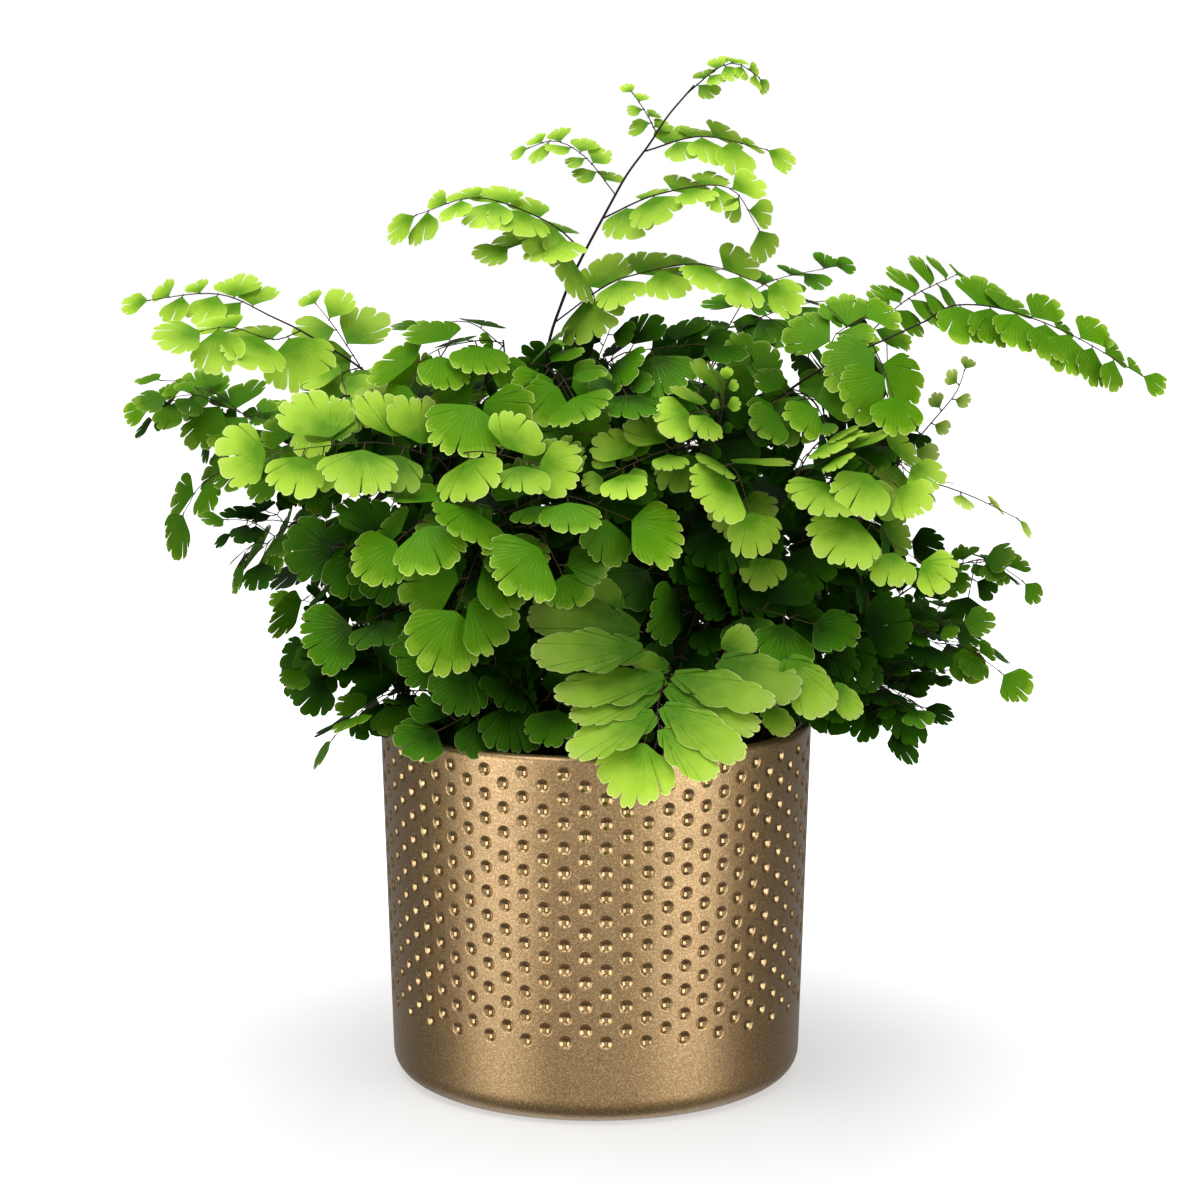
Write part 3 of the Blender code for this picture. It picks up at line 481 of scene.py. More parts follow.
# The frond over the rim has long leaflets, each (root, tip, width) in mm; width 0 is
# the fan at its end.
RIM_LEAFLETS = (
    ((13, -56, 142), (-19, -60, 149), 17),
    ((14, -62, 138), (-17, -74, 140), 15),
    ((7, -51, 147), (0, -50, 156), 9),
    ((21, -57, 132), (10, -61, 136), 8),
    ((20, -62, 130), (-11, -78, 129), 13),
    ((18, -66, 127), (-7, -80, 122), 11),
    ((17, -73, 122), (-7, -88, 115), 13),
    ((14, -79, 117), (8, -89, 100), 0),
    ((21, -62, 131), (49, -76, 125), 12),
    ((19, -64, 128), (45, -78, 118), 12),
    ((18, -71, 124), (40, -87, 113), 13),
    ((18, -77, 119), (32, -90, 107), 12),
    ((34, -60, 135), (56, -72, 128), 16),
    ((36, -56, 136), (44, -56, 142), 12),
    ((53, -62, 136), (64, -72, 122), 16),
    ((66, -60, 128), (73, -66, 120), 9),
    ((47, -60, 122), (54, -66, 115), 9),
)
LARGEST = 20.5 * MM           # no leaflet grows beyond this
LONG_POINTS = 8               # only a long leaflet's outline has more points
# How far apart small leaflets stand on the fronds that reach out of the fern.
SPARSE = {"right_mid": 0.8, "right_dark": 0.9}
# Fronds that stand out of the fern, whose leaflets sit close to the rib and lap one
# another: name -> (leaflet length over the solids' own, distance apart as a share of
# it, how far they lie back from the way the solids' leaflets face to level).
PLUMES = {"tall": (1.22, 0.36, 0.5), "left_long": (1.12, 0.34, 0.15),
          "right_long": (1.22, 0.30, 0.2),
          "left_low": (1.3, 0.34, 0.1), "right_back": (1.1, 0.4, 0.2)}
BARE = ("young", "over_rim")                            # fronds with none but their own
# A place is filled only within this reach of two of the solids' leaflets: farther
# just over the compost inside the pot's rim, where they are few.
LOOSE_REACH = 44 * MM
CLOSE_REACH = 27 * MM
LOW_FILL = 140 * MM           # height up to which that is so
POT_FILL = 56 * MM            # and how far from the pot's axis
RIB_REACH = 22 * MM           # the same for leaflets added on the solids' own ribs
SPARSE_REACH = 60 * MM        # and on those of the sparse fronds
BODY_TOP, BODY_RADIUS = 222 * MM, 78 * MM       # the thick of the fern
GROWTH = (1.3, 1.22, 1.14, 1.07)                # tried in turn on a leaflet with room
TWIGS_PER_RIB = 12            # tried on the ribs of the fronds that reach out low
OUTER_SIZES, MIDDLE_SIZES = (8, 12), (12, 19)   # lengths of twigs' leaflets, in mm
COVER_ABOVE, COVER_ASIDE = 3 * MM, 11 * MM      # where a leaflet shades another


# --- extra growth between the solids' leaflets --------------------------------
def outward(point):
    """Level direction from the pot's axis to a point."""
    flat = Vector((point.x, point.y, 0))
    return flat.normalized() if flat.length > 1 * MM else Vector((0, -1, 0))


def crowded(centres, point, reach):
    """True where the solids already have two leaflets near a point, so that what
    is added stays inside the fern's own outline."""
    found = centres.find_n(point, 2)
    return len(found) == 2 and found[1][2] < reach


def small_leaflet(crowd, name, path, s, side, length, rng, centres, reach):
    """Leaflet between the others, if the place is inside the fern and free."""
    heading, _, across = path.frame(s)
    tip = path.at(s) + (across * side + heading * 0.4).normalized() * length * 0.6
    if not crowded(centres, tip, reach):
        return None
    return lay_leaflet(crowd, name, path, s, side, length, rng, (1.0, 0.8, 0.62), 0.3 * MM)


def grow_leaflets(crowd, laid):
    """Lets each of the solids' leaflets grow into the free room round it."""
    for name, sprays in laid.items():
        for path, _, _, leaflets in sprays:
            for leaf in leaflets if name != "over_rim" and name not in PLUMES else ():
                k = leaf["item"]
                owner, crowd.owners[k] = crowd.owners[k], "itself"
                middle = leaf["root"] + leaf["axis"] * leaf["shape"][0][0]
                for scale in GROWTH if in_body(middle) else (1.08,):
                    shape = [(u * scale, v * scale) for u, v in leaf["shape"]]
                    if max(math.hypot(u, v) for u, v in shape) > LARGEST:
                        continue
                    parts = leaf["root"], leaf["axis"], leaf["normal"], shape
                    solid = blade_solid(*parts, 0.4 * MM, 0.2 * MM)
                    beyond = blade_solid(*parts, 1.5 * MM, 0.2 * MM)
                    if not (crowd.hits(*solid, skip=(path, "itself"))
                            or crowd.hits(*beyond, skip=("itself",))):
                        leaf["shape"] = shape
                        crowd.put(k, *solid)
                        break
                crowd.owners[k] = owner


def lay_plume(crowd, own, path, length, pace, rng):
    """Leaflets close along a rib, left and right in turn, each lapping the one
    before it, and one at the rib's end."""
    leaflets = []
    s, side = 0.16 * path.length, rng.choice((-1, 1))
    while side:
        if s > path.length - 0.25 * length:
            s, side = path.length, 0
        size = length * (1.12 - 0.42 * s / path.length) * rng.uniform(0.72, 1.16)
        heading, up, across = path.frame(s)
        across = across * side
        lean = math.radians(16 + 22 * s / path.length + rng.uniform(-13, 11))
        base = (across * math.cos(lean) + heading * math.sin(lean)) if side else heading
        outline = fan_outline(8 if size > 13 * MM else 5, side, lean, rng)
        droop, roll = rng.uniform(-4, 30), side * rng.uniform(4, 24)
        for scale, pitch in ((1, 0), (1, -16), (1, 16), (0.85, 0), (0.8, -22), (0.7, 0),
                             (0.7, -28)):
            axis = (Matrix.Rotation(math.radians(droop + pitch), 3,
                                    up.cross(base)) @ base).normalized()
            normal = Matrix.Rotation(math.radians(roll), 3,
                                     axis) @ (up - axis * up.dot(axis)).normalized()
            leaf = dict(s=s, side=side, root=path.at(s), axis=axis, normal=normal, foot=0.7 * MM,
                        shape=[(u * size * scale, v * size * scale) for u, v in outline])
            solid = blade_solid(leaf["root"], axis, normal, leaf["shape"], 0.4 * MM, 0.2 * MM)
            if not crowd.hits(*solid, skip=own):
                crowd.add(*solid, own[0])
                leaflets.append(leaf)
                break
        s, side = s + pace * length * rng.uniform(0.65, 1.2), -side
    return leaflets


def dress_plumes(crowd, laid, rng):
    """Gives the fronds that stand out of the fern, and the one over the rim, their
    own leaflets in place of the solids'."""
    for name in ("over_rim", *PLUMES):
        own = [name] + [path for path, *_ in laid[name]]
        for _, _, _, leaflets in laid[name]:
            for leaf in leaflets:
                crowd.drop(leaf["item"])
            leaflets.clear()
        if name == "over_rim":
            laid[name][0][3].extend(long_leaflet(*row) for row in RIM_LEAFLETS)
            for leaf in laid[name][0][3]:
                crowd.add(*blade_solid(leaf["root"], leaf["axis"], leaf["normal"], leaf["shape"],
                                       0.4 * MM, 0.5 * MM), name)
            continue
        grow, pace, level = PLUMES[name]
        for path, _, length, leaflets in laid[name]:
            path.face = path.face.lerp(Vector((0, -0.3, 0.95)), level)
            leaflets.extend(lay_plume(crowd, own, path, grow * length, pace, rng))


def in_body(point):
    """True in the thick of the fern, away from the fronds that stand out of it."""
    return point.z < BODY_TOP and Vector((point.x * 0.8, point.y)).length < BODY_RADIUS


def fill_ribs(crowd, laid, centres, settings, rng):
    """Leaflets between the solids' own, on the same ribs."""
    for name, sprays in laid.items():
        for path, _, length, leaflets in sprays:
            s, side = 0.12 * path.length, rng.choice((-1, 1))
            pace, least = SPARSE.get(name, 1.0), 0.55 if name in SPARSE else 0.7
            while s < 0.97 * path.length and name not in BARE and name not in PLUMES:
                if in_body(path.at(s)) or name in SPARSE:
                    leaf = small_leaflet(crowd, name, path, s, side,
                                         length * (least + 0.3 * rng.random()), rng,
                                         centres, SPARSE_REACH if name in SPARSE else RIB_REACH)
                    if leaf:
                        leaflets.append(leaf)
                        leaf["shade"] = 1
                s, side = s + pace * settings.leaflet_spacing * rng.uniform(0.8, 1.2), -side


def stem_marks(plans, laid):
    """(point, frond name) every few millimetres along the stems and ribs, where
    a twig may grow."""
    marks = []
    for name, (_, stem, _) in plans.items():
        for a, b in zip(stem[1:], stem[2:]):
            steps = max(1, int((b - a).length / (5 * MM)))
            marks += [(a.lerp(b, k / steps), name) for k in range(steps)]
        for path, *_ in laid[name]:
            marks += [(path.at(path.length * t), name) for t in (0.1, 0.25, 0.4, 0.55)]
    return marks


def fill_middle(crowd, plans, laid, centres, settings, rng, extras):
    """Shaded leaflets in the fern's middle, each at the end of a thin twig from
    the nearest stem, at those of the tried places that lie inside the fern and are free."""
    marks = stem_marks(plans, laid)
    near = kdtree.KDTree(len(marks))
    for k, (point, name) in enumerate(marks):
        near.insert(point, k)
    near.balance()
    for _ in range(settings.fill_tries):
        z = (101 + 107 * rng.random() ** 1.2) * MM
        spread = 56 + 34 * min(1.0, (z / MM - 100) / 50)
        angle, out = rng.uniform(0, 2 * math.pi), math.sqrt(rng.random())
        deep = 0.95 if math.sin(angle) > 0 else 0.5
        point = Vector((1.05 * spread * out * math.cos(angle),
                        deep * spread * out * math.sin(angle) + 4, 0))
        point = point * MM + Vector((0, 0, z))
        inside = z < LOW_FILL and math.hypot(point.x, point.y) < POT_FILL
        if not crowded(centres, point, LOOSE_REACH if inside else CLOSE_REACH):
            continue
        found = [item for item in near.find_n(point, 6) if 7 * MM < item[2] < 34 * MM]
        if found:
            start, index, _ = found[0]
            name = marks[index][1]
            own = (name, *[p for p, *_ in laid[name]])
            face = outward(point) * rng.uniform(0.6, 1.1) + Vector((0, 0, 0.7))
            extras[name] += lay_twig(crowd, name, own, start, point, face, rng, MIDDLE_SIZES)


def lay_twig(crowd, name, own, start, point, face, rng, sizes):
    """A thin twig from a stem to a free point, with one leaflet at its end and
    one at each side, as a list of one spray, or an empty one."""
    middle = start.lerp(point, 0.5) + Vector((0, 0, 0.12 * (point - start).length))
    if abs((point - start).normalized().dot(face.normalized())) > 0.93:
        return []
    path = Path([start, middle, point], face)
    solid = rod([path.at(path.length * k / 5) for k in range(6)], 0.35 * MM)
    if crowd.hits(*solid, skip=own):
        return []
    leaf = lay_leaflet(crowd, name, path, path.length, 0, rng.uniform(*sizes) * MM, rng,
                       (1.0, 0.8, 0.64), 0.25 * MM)
    if not leaf:
        return []
    crowd.add(*solid, path)
    added = [leaf]
    for side in (-1, 1):
        leaf = lay_leaflet(crowd, name, path, path.length * 0.62, side,
                           0.8 * rng.uniform(*sizes) * MM,
                           rng, (1.0, 0.75), 0.25 * MM)
        if leaf:
            added.append(leaf)
    return [(path, added)]


def fill_outer(crowd, laid, rng, extras):
    """Short twigs on the ribs of the fronds that reach out low at the sides."""
    for name in ("left_low", "left_dark", "right_mid", "right_low", "right_dark"):
        for path, *_ in laid[name]:
            own = (name, *[p for p, *_ in laid[name]])
            for _ in range(TWIGS_PER_RIB):
                start = path.at(path.length * rng.uniform(0.2, 0.85))
                way = Vector((rng.uniform(-1, 1), rng.uniform(-1, 1), rng.uniform(-0.8, 0.8)))
                point = start + (way.normalized() + outward(start) * 0.5) * rng.uniform(8, 15) * MM
                if abs(point.x) < 140 * MM:
                    extras[name] += lay_twig(crowd, name, own, start, point,
                                             Vector((0, -0.5, 0.8)), rng, OUTER_SIZES)


def leaf_middle(leaf):
    """Point a little past the middle of a leaflet."""
    return leaf["root"] + leaf["axis"] * 0.6 * max(u for u, _ in leaf["shape"])


def count_cover(leaves):
    """Counts, for every leaflet, those that lie over it, towards the light; the count darkens its
    colour as painted shade.
    """
    light = np.array((0.0, -0.5, 0.866))      # from the front and above
    middles = np.array([tuple(leaf_middle(leaf)) for leaf in leaves])
    for leaf, middle in zip(leaves, middles):
        off = middles - middle
        ahead = off @ light
        aside = np.linalg.norm(off - ahead[:, None] * light, axis=1)
        cover = int(((ahead > COVER_ABOVE) & (aside < COVER_ASIDE)).sum()) + leaf.get("shade", 0)
        leaf.setdefault("cover", min(cover, 2) if "foot" in leaf else cover)


def lay_extras(crowd, laid, plans, settings):
    """name -> extra sprays, as (path, leaflets)."""
    rng = random.Random(SEED + 100)
    own = [leaf for sprays in laid.values() for *_, leaflets in sprays for leaf in leaflets]
    centres = kdtree.KDTree(len(own))
    for k, leaf in enumerate(own):
        centres.insert(leaf_middle(leaf), k)
    centres.balance()
    dress_plumes(crowd, laid, rng)
    grow_leaflets(crowd, laid)
    fill_ribs(crowd, laid, centres, settings, rng)
    extras = {name: [] for name in laid}
    fill_outer(crowd, laid, rng, extras)
    fill_middle(crowd, plans, laid, centres, settings, rng, extras)
    added = [leaf for sprays in extras.values() for _, leaflets in sprays for leaf in leaflets]
    own = [leaf for sprays in laid.values() for *_, leaflets in sprays for leaf in leaflets]
    for leaf in added:
        leaf["shade"] = 1
    count_cover(own + added)
    return extras


# --- meshes -------------------------------------------------------------------
class Skin:
    """Collects sheets and tubes of points into one mesh with two finishes."""

    def __init__(self):
        self.verts, self.faces, self.finish = [], [], []
        self.leaf, self.tint = [], []
        self.count = 0

    def sheet(self, points, finish, leaf, tint, closed=False):
        """Net of quads through a (rows, columns, 3) array of points."""
        rows, cols = points.shape[:2]
        wide = cols if closed else cols - 1
        r, c = np.meshgrid(np.arange(rows - 1), np.arange(wide), indexing="ij")
        n = (c + 1) % cols
        quads = np.stack((r * cols + c, r * cols + n, (r + 1) * cols + n, (r + 1) * cols + c), -1)
        self.verts.append(points.reshape(-1, 3))
        self.faces.append(quads.reshape(-1, 4) + self.count)
        self.finish.append(np.full(quads.size // 4, finish, np.int32))
        self.leaf.append(np.broadcast_to(leaf, points.shape).reshape(-1, 3))
        self.tint.append(np.full(rows * cols, tint, np.float32))
        self.count += rows * cols

    def make(self, name, materials):
        mesh = bpy.data.meshes.new(name)
        mesh.from_pydata(np.concatenate(self.verts).tolist(), [],
                         np.concatenate(self.faces).tolist())
        mesh.polygons.foreach_set("material_index", np.concatenate(self.finish))
        leaf = mesh.attributes.new("leaf", 'FLOAT_VECTOR', 'POINT')
        leaf.data.foreach_set("vector", np.concatenate(self.leaf).astype(np.float32).ravel())
        tint = mesh.attributes.new("tint", 'FLOAT', 'POINT')
        tint.data.foreach_set("value", np.concatenate(self.tint))
        for material in materials:
            mesh.materials.append(material)
        mesh.shade_smooth()
        obj = bpy.data.objects.new(name, mesh)
        bpy.context.scene.collection.objects.link(obj)
        return obj


# the third finish is the leaf's darkest copy: painted shade for leaflets under many others
STALK, LEAF, SHADED_FINISH = 0, 1, 2


def tube(skin, points, radii, sides, age):
    """Round tapering stalk through the points; age runs from its foot to its tip."""
    points = np.array([tuple(p) for p in points])
    along = np.gradient(points, axis=0)
    along /= np.linalg.norm(along, axis=1, keepdims=True)
    side = np.cross(along[0], (0.31, 0.17, 0.93))
    rings = []
    turn = np.linspace(0, 2 * np.pi, sides, endpoint=False)[:, None]
    for p, t, radius in zip(points, along, radii):
        side = side - t * side.dot(t)
        side /= np.linalg.norm(side)
        rings.append(p + radius * (np.cos(turn) * side + np.sin(turn) * np.cross(t, side)))
    rings = np.array(rings)
    ages = np.linspace(age[0], age[1], len(points))[:, None]
    leaf = np.stack(np.broadcast_arrays(ages, turn.T / 6.28, np.zeros_like(ages)), -1)
    skin.sheet(rings, STALK, leaf, 0.5, closed=True)
    for ring, end, place in ((rings[0], points[0], age[0]), (rings[-1], points[-1], age[1])):
        skin.sheet(np.array([ring, np.broadcast_to(end, ring.shape)]), STALK, (place, 0, 0), 0.5,
                   closed=True)


def rounded(points, reach):
    """Polyline with its corners eased, the way a wiry stalk bends."""
    out = [points[0]]
    for a, b, c in zip(points, points[1:], points[2:]):
        near = min(reach, 0.4 * (a - b).length, 0.4 * (c - b).length)
        before, after = b + (a - b).normalized() * near, b + (c - b).normalized() * near
        for t in (0.0, 0.25, 0.5, 0.75, 1.0):
            out.append(before.lerp(b, t).lerp(b.lerp(after, t), t))
    return out + [points[-1]]


def long_leaflet(root, tip, width):
    """Leaflet of the rim frond: an oblong that widens at once and ends blunt."""
    root, tip = Vector(root) * MM, Vector(tip) * MM
    axis = (tip - root).normalized()
    face = Vector((0.1 * axis.x, -0.72, 0.69))
    normal = (face - axis * face.dot(axis)).normalized()
    length = (tip - root).length
    if not width:
        shape = [(length * (1 - 0.2 * t * t) * math.cos(t),
                  length * (1 - 0.2 * t * t) * math.sin(t))
                 for t in (-1, -0.6, -0.2, 0.2, 0.6, 1)]
        return dict(root=root, axis=axis, normal=normal, shape=shape, young=1.0, cover=0.5)
    shape = []
    for k in range(13):
        a = math.radians(-163 + 326 * k / 12)
        blunt = 2 / 2.5
        u = 0.5 * length * (1 + math.copysign(abs(math.cos(a)) ** blunt, math.cos(a)))
        v = 0.5 * width * MM * math.copysign(abs(math.sin(a)) ** blunt, math.sin(a))
        shape.append((u, v * (0.75 + 0.25 * u / length)))
    # Lower leaflets count as younger and paler; higher ones get a larger cover, which paints shade
    # on them.
    young = min(1.0, max(0.0, (138 * MM - tip.z) / (34 * MM)))
    return dict(root=root, axis=axis, normal=normal, shape=shape, young=young,
                cover=3.6 - 3 * young)


SMOOTH_SHARE = 0.16           # of a long leaflet's outline, at each end, without lobes
LONG_DEPTH, FAN_DEPTH = 0.8, 1.6    # how deep the lobes of long leaflets and fans are cut


def margin(shape, rng):
    """Leaflet's outer edge as (share of the way round, along, across) columns:
    round lobes with narrow cuts between them, the solid's own cuts the
    deepest.  A long leaflet's sides stay smooth and its lobes are shallow, a
    small one is narrower, with smaller lobes."""
    cut = {8: (2, 5), 5: (2,)}.get(len(shape), ())
    small = max(u for u, v in shape) < 10 * MM
    smooth = SMOOTH_SHARE if len(shape) > LONG_POINTS else 0.0
    hub = 0.5 * max(u for u, v in shape) if smooth else 0.0
    knots = [(math.atan2(v, u - hub) * (1.0 if smooth else 0.84 if small else 0.94),
              math.hypot(u - hub, v) / (0.66 if k in cut else 1.0)) for k,
             (u, v) in enumerate(shape)]
    low, high = knots[0][0], knots[-1][0]
    deep = [k / (len(shape) - 1) for k in cut]
    arc = (high - low) * max(r for _, r in knots)
    lobes = 8 if smooth else max(3, min(7, round(arc / ((4.4 if small else 6.0) * MM))))
    depth = LONG_DEPTH if smooth else FAN_DEPTH
    bounds = [smooth] + deep + [1.0 - smooth]
    while len(bounds) - 1 < lobes:
        wide = max(range(len(bounds) - 1), key=lambda k: bounds[k + 1] - bounds[k])
        share = rng.uniform(0.38, 0.62)
        bounds.insert(wide + 1, bounds[wide] + (bounds[wide + 1] - bounds[wide]) * share)
    if not deep and lobes > 3 and (not smooth or rng.random() < 0.6):
        deep = [bounds[rng.randrange(1, lobes)]]
    columns = [(smooth * t, 1.0) for t in (0.0, 0.4, 0.75) if smooth]
    for a, b in zip(bounds, bounds[1:]):
        swell = 1 + depth * rng.uniform(-0.035, 0.03)
        dent, dip = rng.uniform(-0.35, 0.35), rng.uniform(0.01, 0.045)
        for x in (-0.92, -0.72, -0.44, -0.15, 0.15, 0.44, 0.72, 0.92):
            fall = depth * (0.085 * x ** 4 + dip * math.exp(-((x - dent) / 0.17) ** 2))
            columns.append(((a + b) / 2 + x * (b - a) / 2, swell * (1.0 - fall)))
        if b < 1.0 - smooth:
            cut_by = rng.uniform(0.22, 0.34) if b in deep else rng.uniform(0.1, 0.18)
            columns.append((b, 1.0 - depth * cut_by))
    columns += [(1.0 - smooth * t, 1.0) for t in (0.75, 0.4, 0.0) if smooth]
    out = []
    for share, scale in columns:
        k = min(int(share * (len(knots) - 1)), len(knots) - 2)
        t = share * (len(knots) - 1) - k
        ease = 0.5 * (t + t * t * (3 - 2 * t))
        scale *= 1.0 if smooth else 1.0 - 0.24 * abs(2 * share - 1) ** 6
        radius = scale * ((1 - ease) * knots[k][1] + ease * knots[k + 1][1])
        angle = (1 - t) * knots[k][0] + t * knots[k + 1][0]
        out.append((share, hub + radius * math.cos(angle), radius * math.sin(angle)))
    return np.array(out).T


ROWS = (0.0, 0.3, 0.58, 0.8, 0.93, 1.0)     # a blade's rows of points, from its foot to its edge
VEIN_SPACING = 1.7 * MM       # drawn coarser than real veins, which are too fine to show
DEEP_COVER = 4                # leaflets over one that give it the darkest finish, painted shade


def leaflet(skin, leaf, rng, young):
    """Thin fan on a hair-fine stalk, a little cupped, its lobes and edge waved.
    The more leaflets lie over it towards the light, the darker its colour is painted: painted
    shade."""
    axis, normal = Vector(leaf["axis"]), Vector(leaf["normal"])
    across = normal.cross(axis)
    length = max(math.hypot(u, v) for u, v in leaf["shape"])
    start = leaf.get("foot", 0.8 * MM if len(leaf["shape"]) > LONG_POINTS
                     else min(0.16 * length, 2.4 * MM))
    base = leaf["root"] + axis * start
    share, u, v = margin(leaf["shape"], rng)
    share = share * 2 - 1
    rows = np.array(ROWS)[:, None]
    neck = 0.35 * MM
    along = start + (u - start) * rows
    side = 0.0 if len(leaf["shape"]) > LONG_POINTS else 0.08 if length > 13 * MM else -0.06
    bulge = 1 + side * np.sin(np.pi * rows) * np.abs(share) ** 3
    wide = (neck * share * (1 - rows) + v * rows) * bulge
    cup, wave = rng.uniform(-0.04, 0.05), rng.uniform(0.01, 0.03)
    phase, droop = rng.uniform(0, 6.28), rng.uniform(0.0, 0.12)
    far = rows * np.hypot(u, v) / length
    height = length * (cup * share ** 2 * far ** 2
                       + wave * np.sin(share * rng.uniform(4, 7) + phase) * far ** 3
                       - droop * far ** 2.4)
    grid = (np.array(leaf["root"]) + along[..., None] * np.array(axis)
            + wide[..., None] * np.array(across) + height[..., None] * np.array(normal))
    veins = length / VEIN_SPACING
    marks = np.stack(np.broadcast_arrays(share * veins / 2, far, rows), -1)
    cover = leaf.get("cover", 0)
    # tone: random, paler when young, and darker the more leaflets cover it, which is painted shade
    tint = 0.2 * rng.random() + 0.3 * young + 0.5 * (1 - min(cover, 3) / 3)
    # leaflets covered by many others take the darkest finish: painted shade
    skin.sheet(grid, SHADED_FINISH if cover > DEEP_COVER else LEAF, marks, tint)
    foot = leaf["root"] - axis * 0.3 * MM
    sag = -normal * 0.05 * start
    tube(skin, [foot, leaf["root"].lerp(base, 0.5) + sag, base + axis * 0.3 * MM],
         (0.24 * MM, 0.19 * MM, 0.16 * MM), 5, (0.7, 0.85))


def frond_skin(stem, sprays, rng, settings):
    """Stalks and leaflets of one frond; sprays are (path, leaflets)."""
    skin = Skin()
    line = rounded(stem, 6 * MM)
    thick = settings.stalk_diameter / 2
    tube(skin, line, np.linspace(thick, 0.45 * thick, len(line)), 8, (0.0, 0.45))
    for path, leaflets in sprays:
        count = max(5, int(path.length / (3 * MM)))
        line = [path.at(path.length * k / count) for k in range(count + 1)]
        foot = 0.46 if path.length > 36 * MM else 0.36
        tube(skin, line, np.linspace(foot * thick, 0.2 * thick, len(line)), 6, (0.4, 0.8))
        for leaf in leaflets:
            height = min(1.0, max(0.0, (leaf["root"].z - 150 * MM) / (130 * MM)))
            if "young" in leaf:
                young = leaf["young"]
            else:
                young = 0.5 * height + 0.5 * min(1.0, leaf["s"] / path.length)
            leaflet(skin, leaf, rng, young)
    return skin


# --- pot ------------------------------------------------------------------------
DIMPLE_RINGS = (0.36, 0.64, 0.86, 1.0, 1.1)     # as shares of a dimple's radius
ROUND_STEPS = 8               # steps of the lip's and of the bottom corner's round
FOOT_HOLLOW = 0.8 * MM        # how far the underside lies back inside its ring
FOOT_RINGS = ((52 * MM, 0.0), (51 * MM, FOOT_HOLLOW), (30 * MM, FOOT_HOLLOW))


def wall_radius(z):
    """Outside radius of the pot's gently tapered wall."""
    return BASE_RADIUS + (RIM_RADIUS - BASE_RADIUS) * max(0.0, (z - CORNER) / (POT_HEIGHT - CORNER))


def bowl(distance, settings):
    """Depth of a soft round dimple at a distance from its middle."""
    t = min(1.0, distance / (settings.dimple_width / 2))
    return settings.dimple_depth * (1 - t ** 2.8) ** 1.5


class Wall:
    """Net of the pot's outer wall.  Its knots are counted in quarters of a
    dimple's own rectangle, so that neighbours share them."""

    def __init__(self, settings):
        self.settings = settings
        self.verts, self.faces, self.knots, self.hollow = [], [], {}, []
        self.wide = 2 * math.pi / (4 * settings.dimple_columns)
        self.tall = settings.dimple_pitch / 4
        self.top = 4 * settings.dimple_rows

    def height(self, up):
        return min(self.settings.dimple_start + up * self.tall, POT_HEIGHT - LIP - 0.1 * MM)

    def point(self, angle, z, radius, hollow=0.0):
        self.hollow.append(hollow)
        self.verts.append((radius * math.sin(angle), -radius * math.cos(angle), z))
        return len(self.verts) - 1

    def knot(self, across, up):
        key = (across % (4 * self.settings.dimple_columns), up)
        if key not in self.knots:
            z = self.height(up)
            self.knots[key] = self.point(key[0] * self.wide, z, wall_radius(z))
        return self.knots[key]

    def ring(self, radius, z):
        return [self.point(k * self.wide, z, radius)
                for k in range(4 * self.settings.dimple_columns)]

    def join(self, lower, upper):
        n = len(lower)
        self.faces += [(lower[k], lower[(k + 1) % n], upper[(k + 1) % n], upper[k])
                       for k in range(n)]


def add_dimple(wall, column, up):
    """One dimple and the glaze round it: rings of 16 points from its middle out
    to its rectangle's edge, whose lowest knots are that many quarters up."""
    settings = wall.settings
    edge = [(k - 2, -2) for k in range(4)] + [(2, k - 2) for k in range(4)]
    edge += [(2 - k, 2) for k in range(4)] + [(-2, 2 - k) for k in range(4)]
    turn, z = (4 * column + 2) * wall.wide, settings.dimple_start + (up + 2) * wall.tall
    radius = wall_radius(z)
    middle = wall.point(turn, z, radius - settings.dimple_depth, 1.0)
    loops = []
    for share in DIMPLE_RINGS:
        out = share * settings.dimple_width / 2
        loop = []
        for a, b in edge:
            way = math.atan2(b * wall.tall, a * wall.wide * radius)
            x, y = out * math.cos(way), out * math.sin(way)
            deep = bowl(out, settings)
            loop.append(wall.point(turn + x / radius, z + y, wall_radius(z + y) - deep,
                                   deep / settings.dimple_depth))
        loops.append(loop)
    loops.append([wall.knot(4 * column + 2 + a, up + 2 + b) for a, b in edge])
    wall.faces += [(middle, loops[0][k], loops[0][(k + 1) % 16]) for k in range(16)]
    for inner, outer in zip(loops, loops[1:]):
        wall.join(outer, inner)


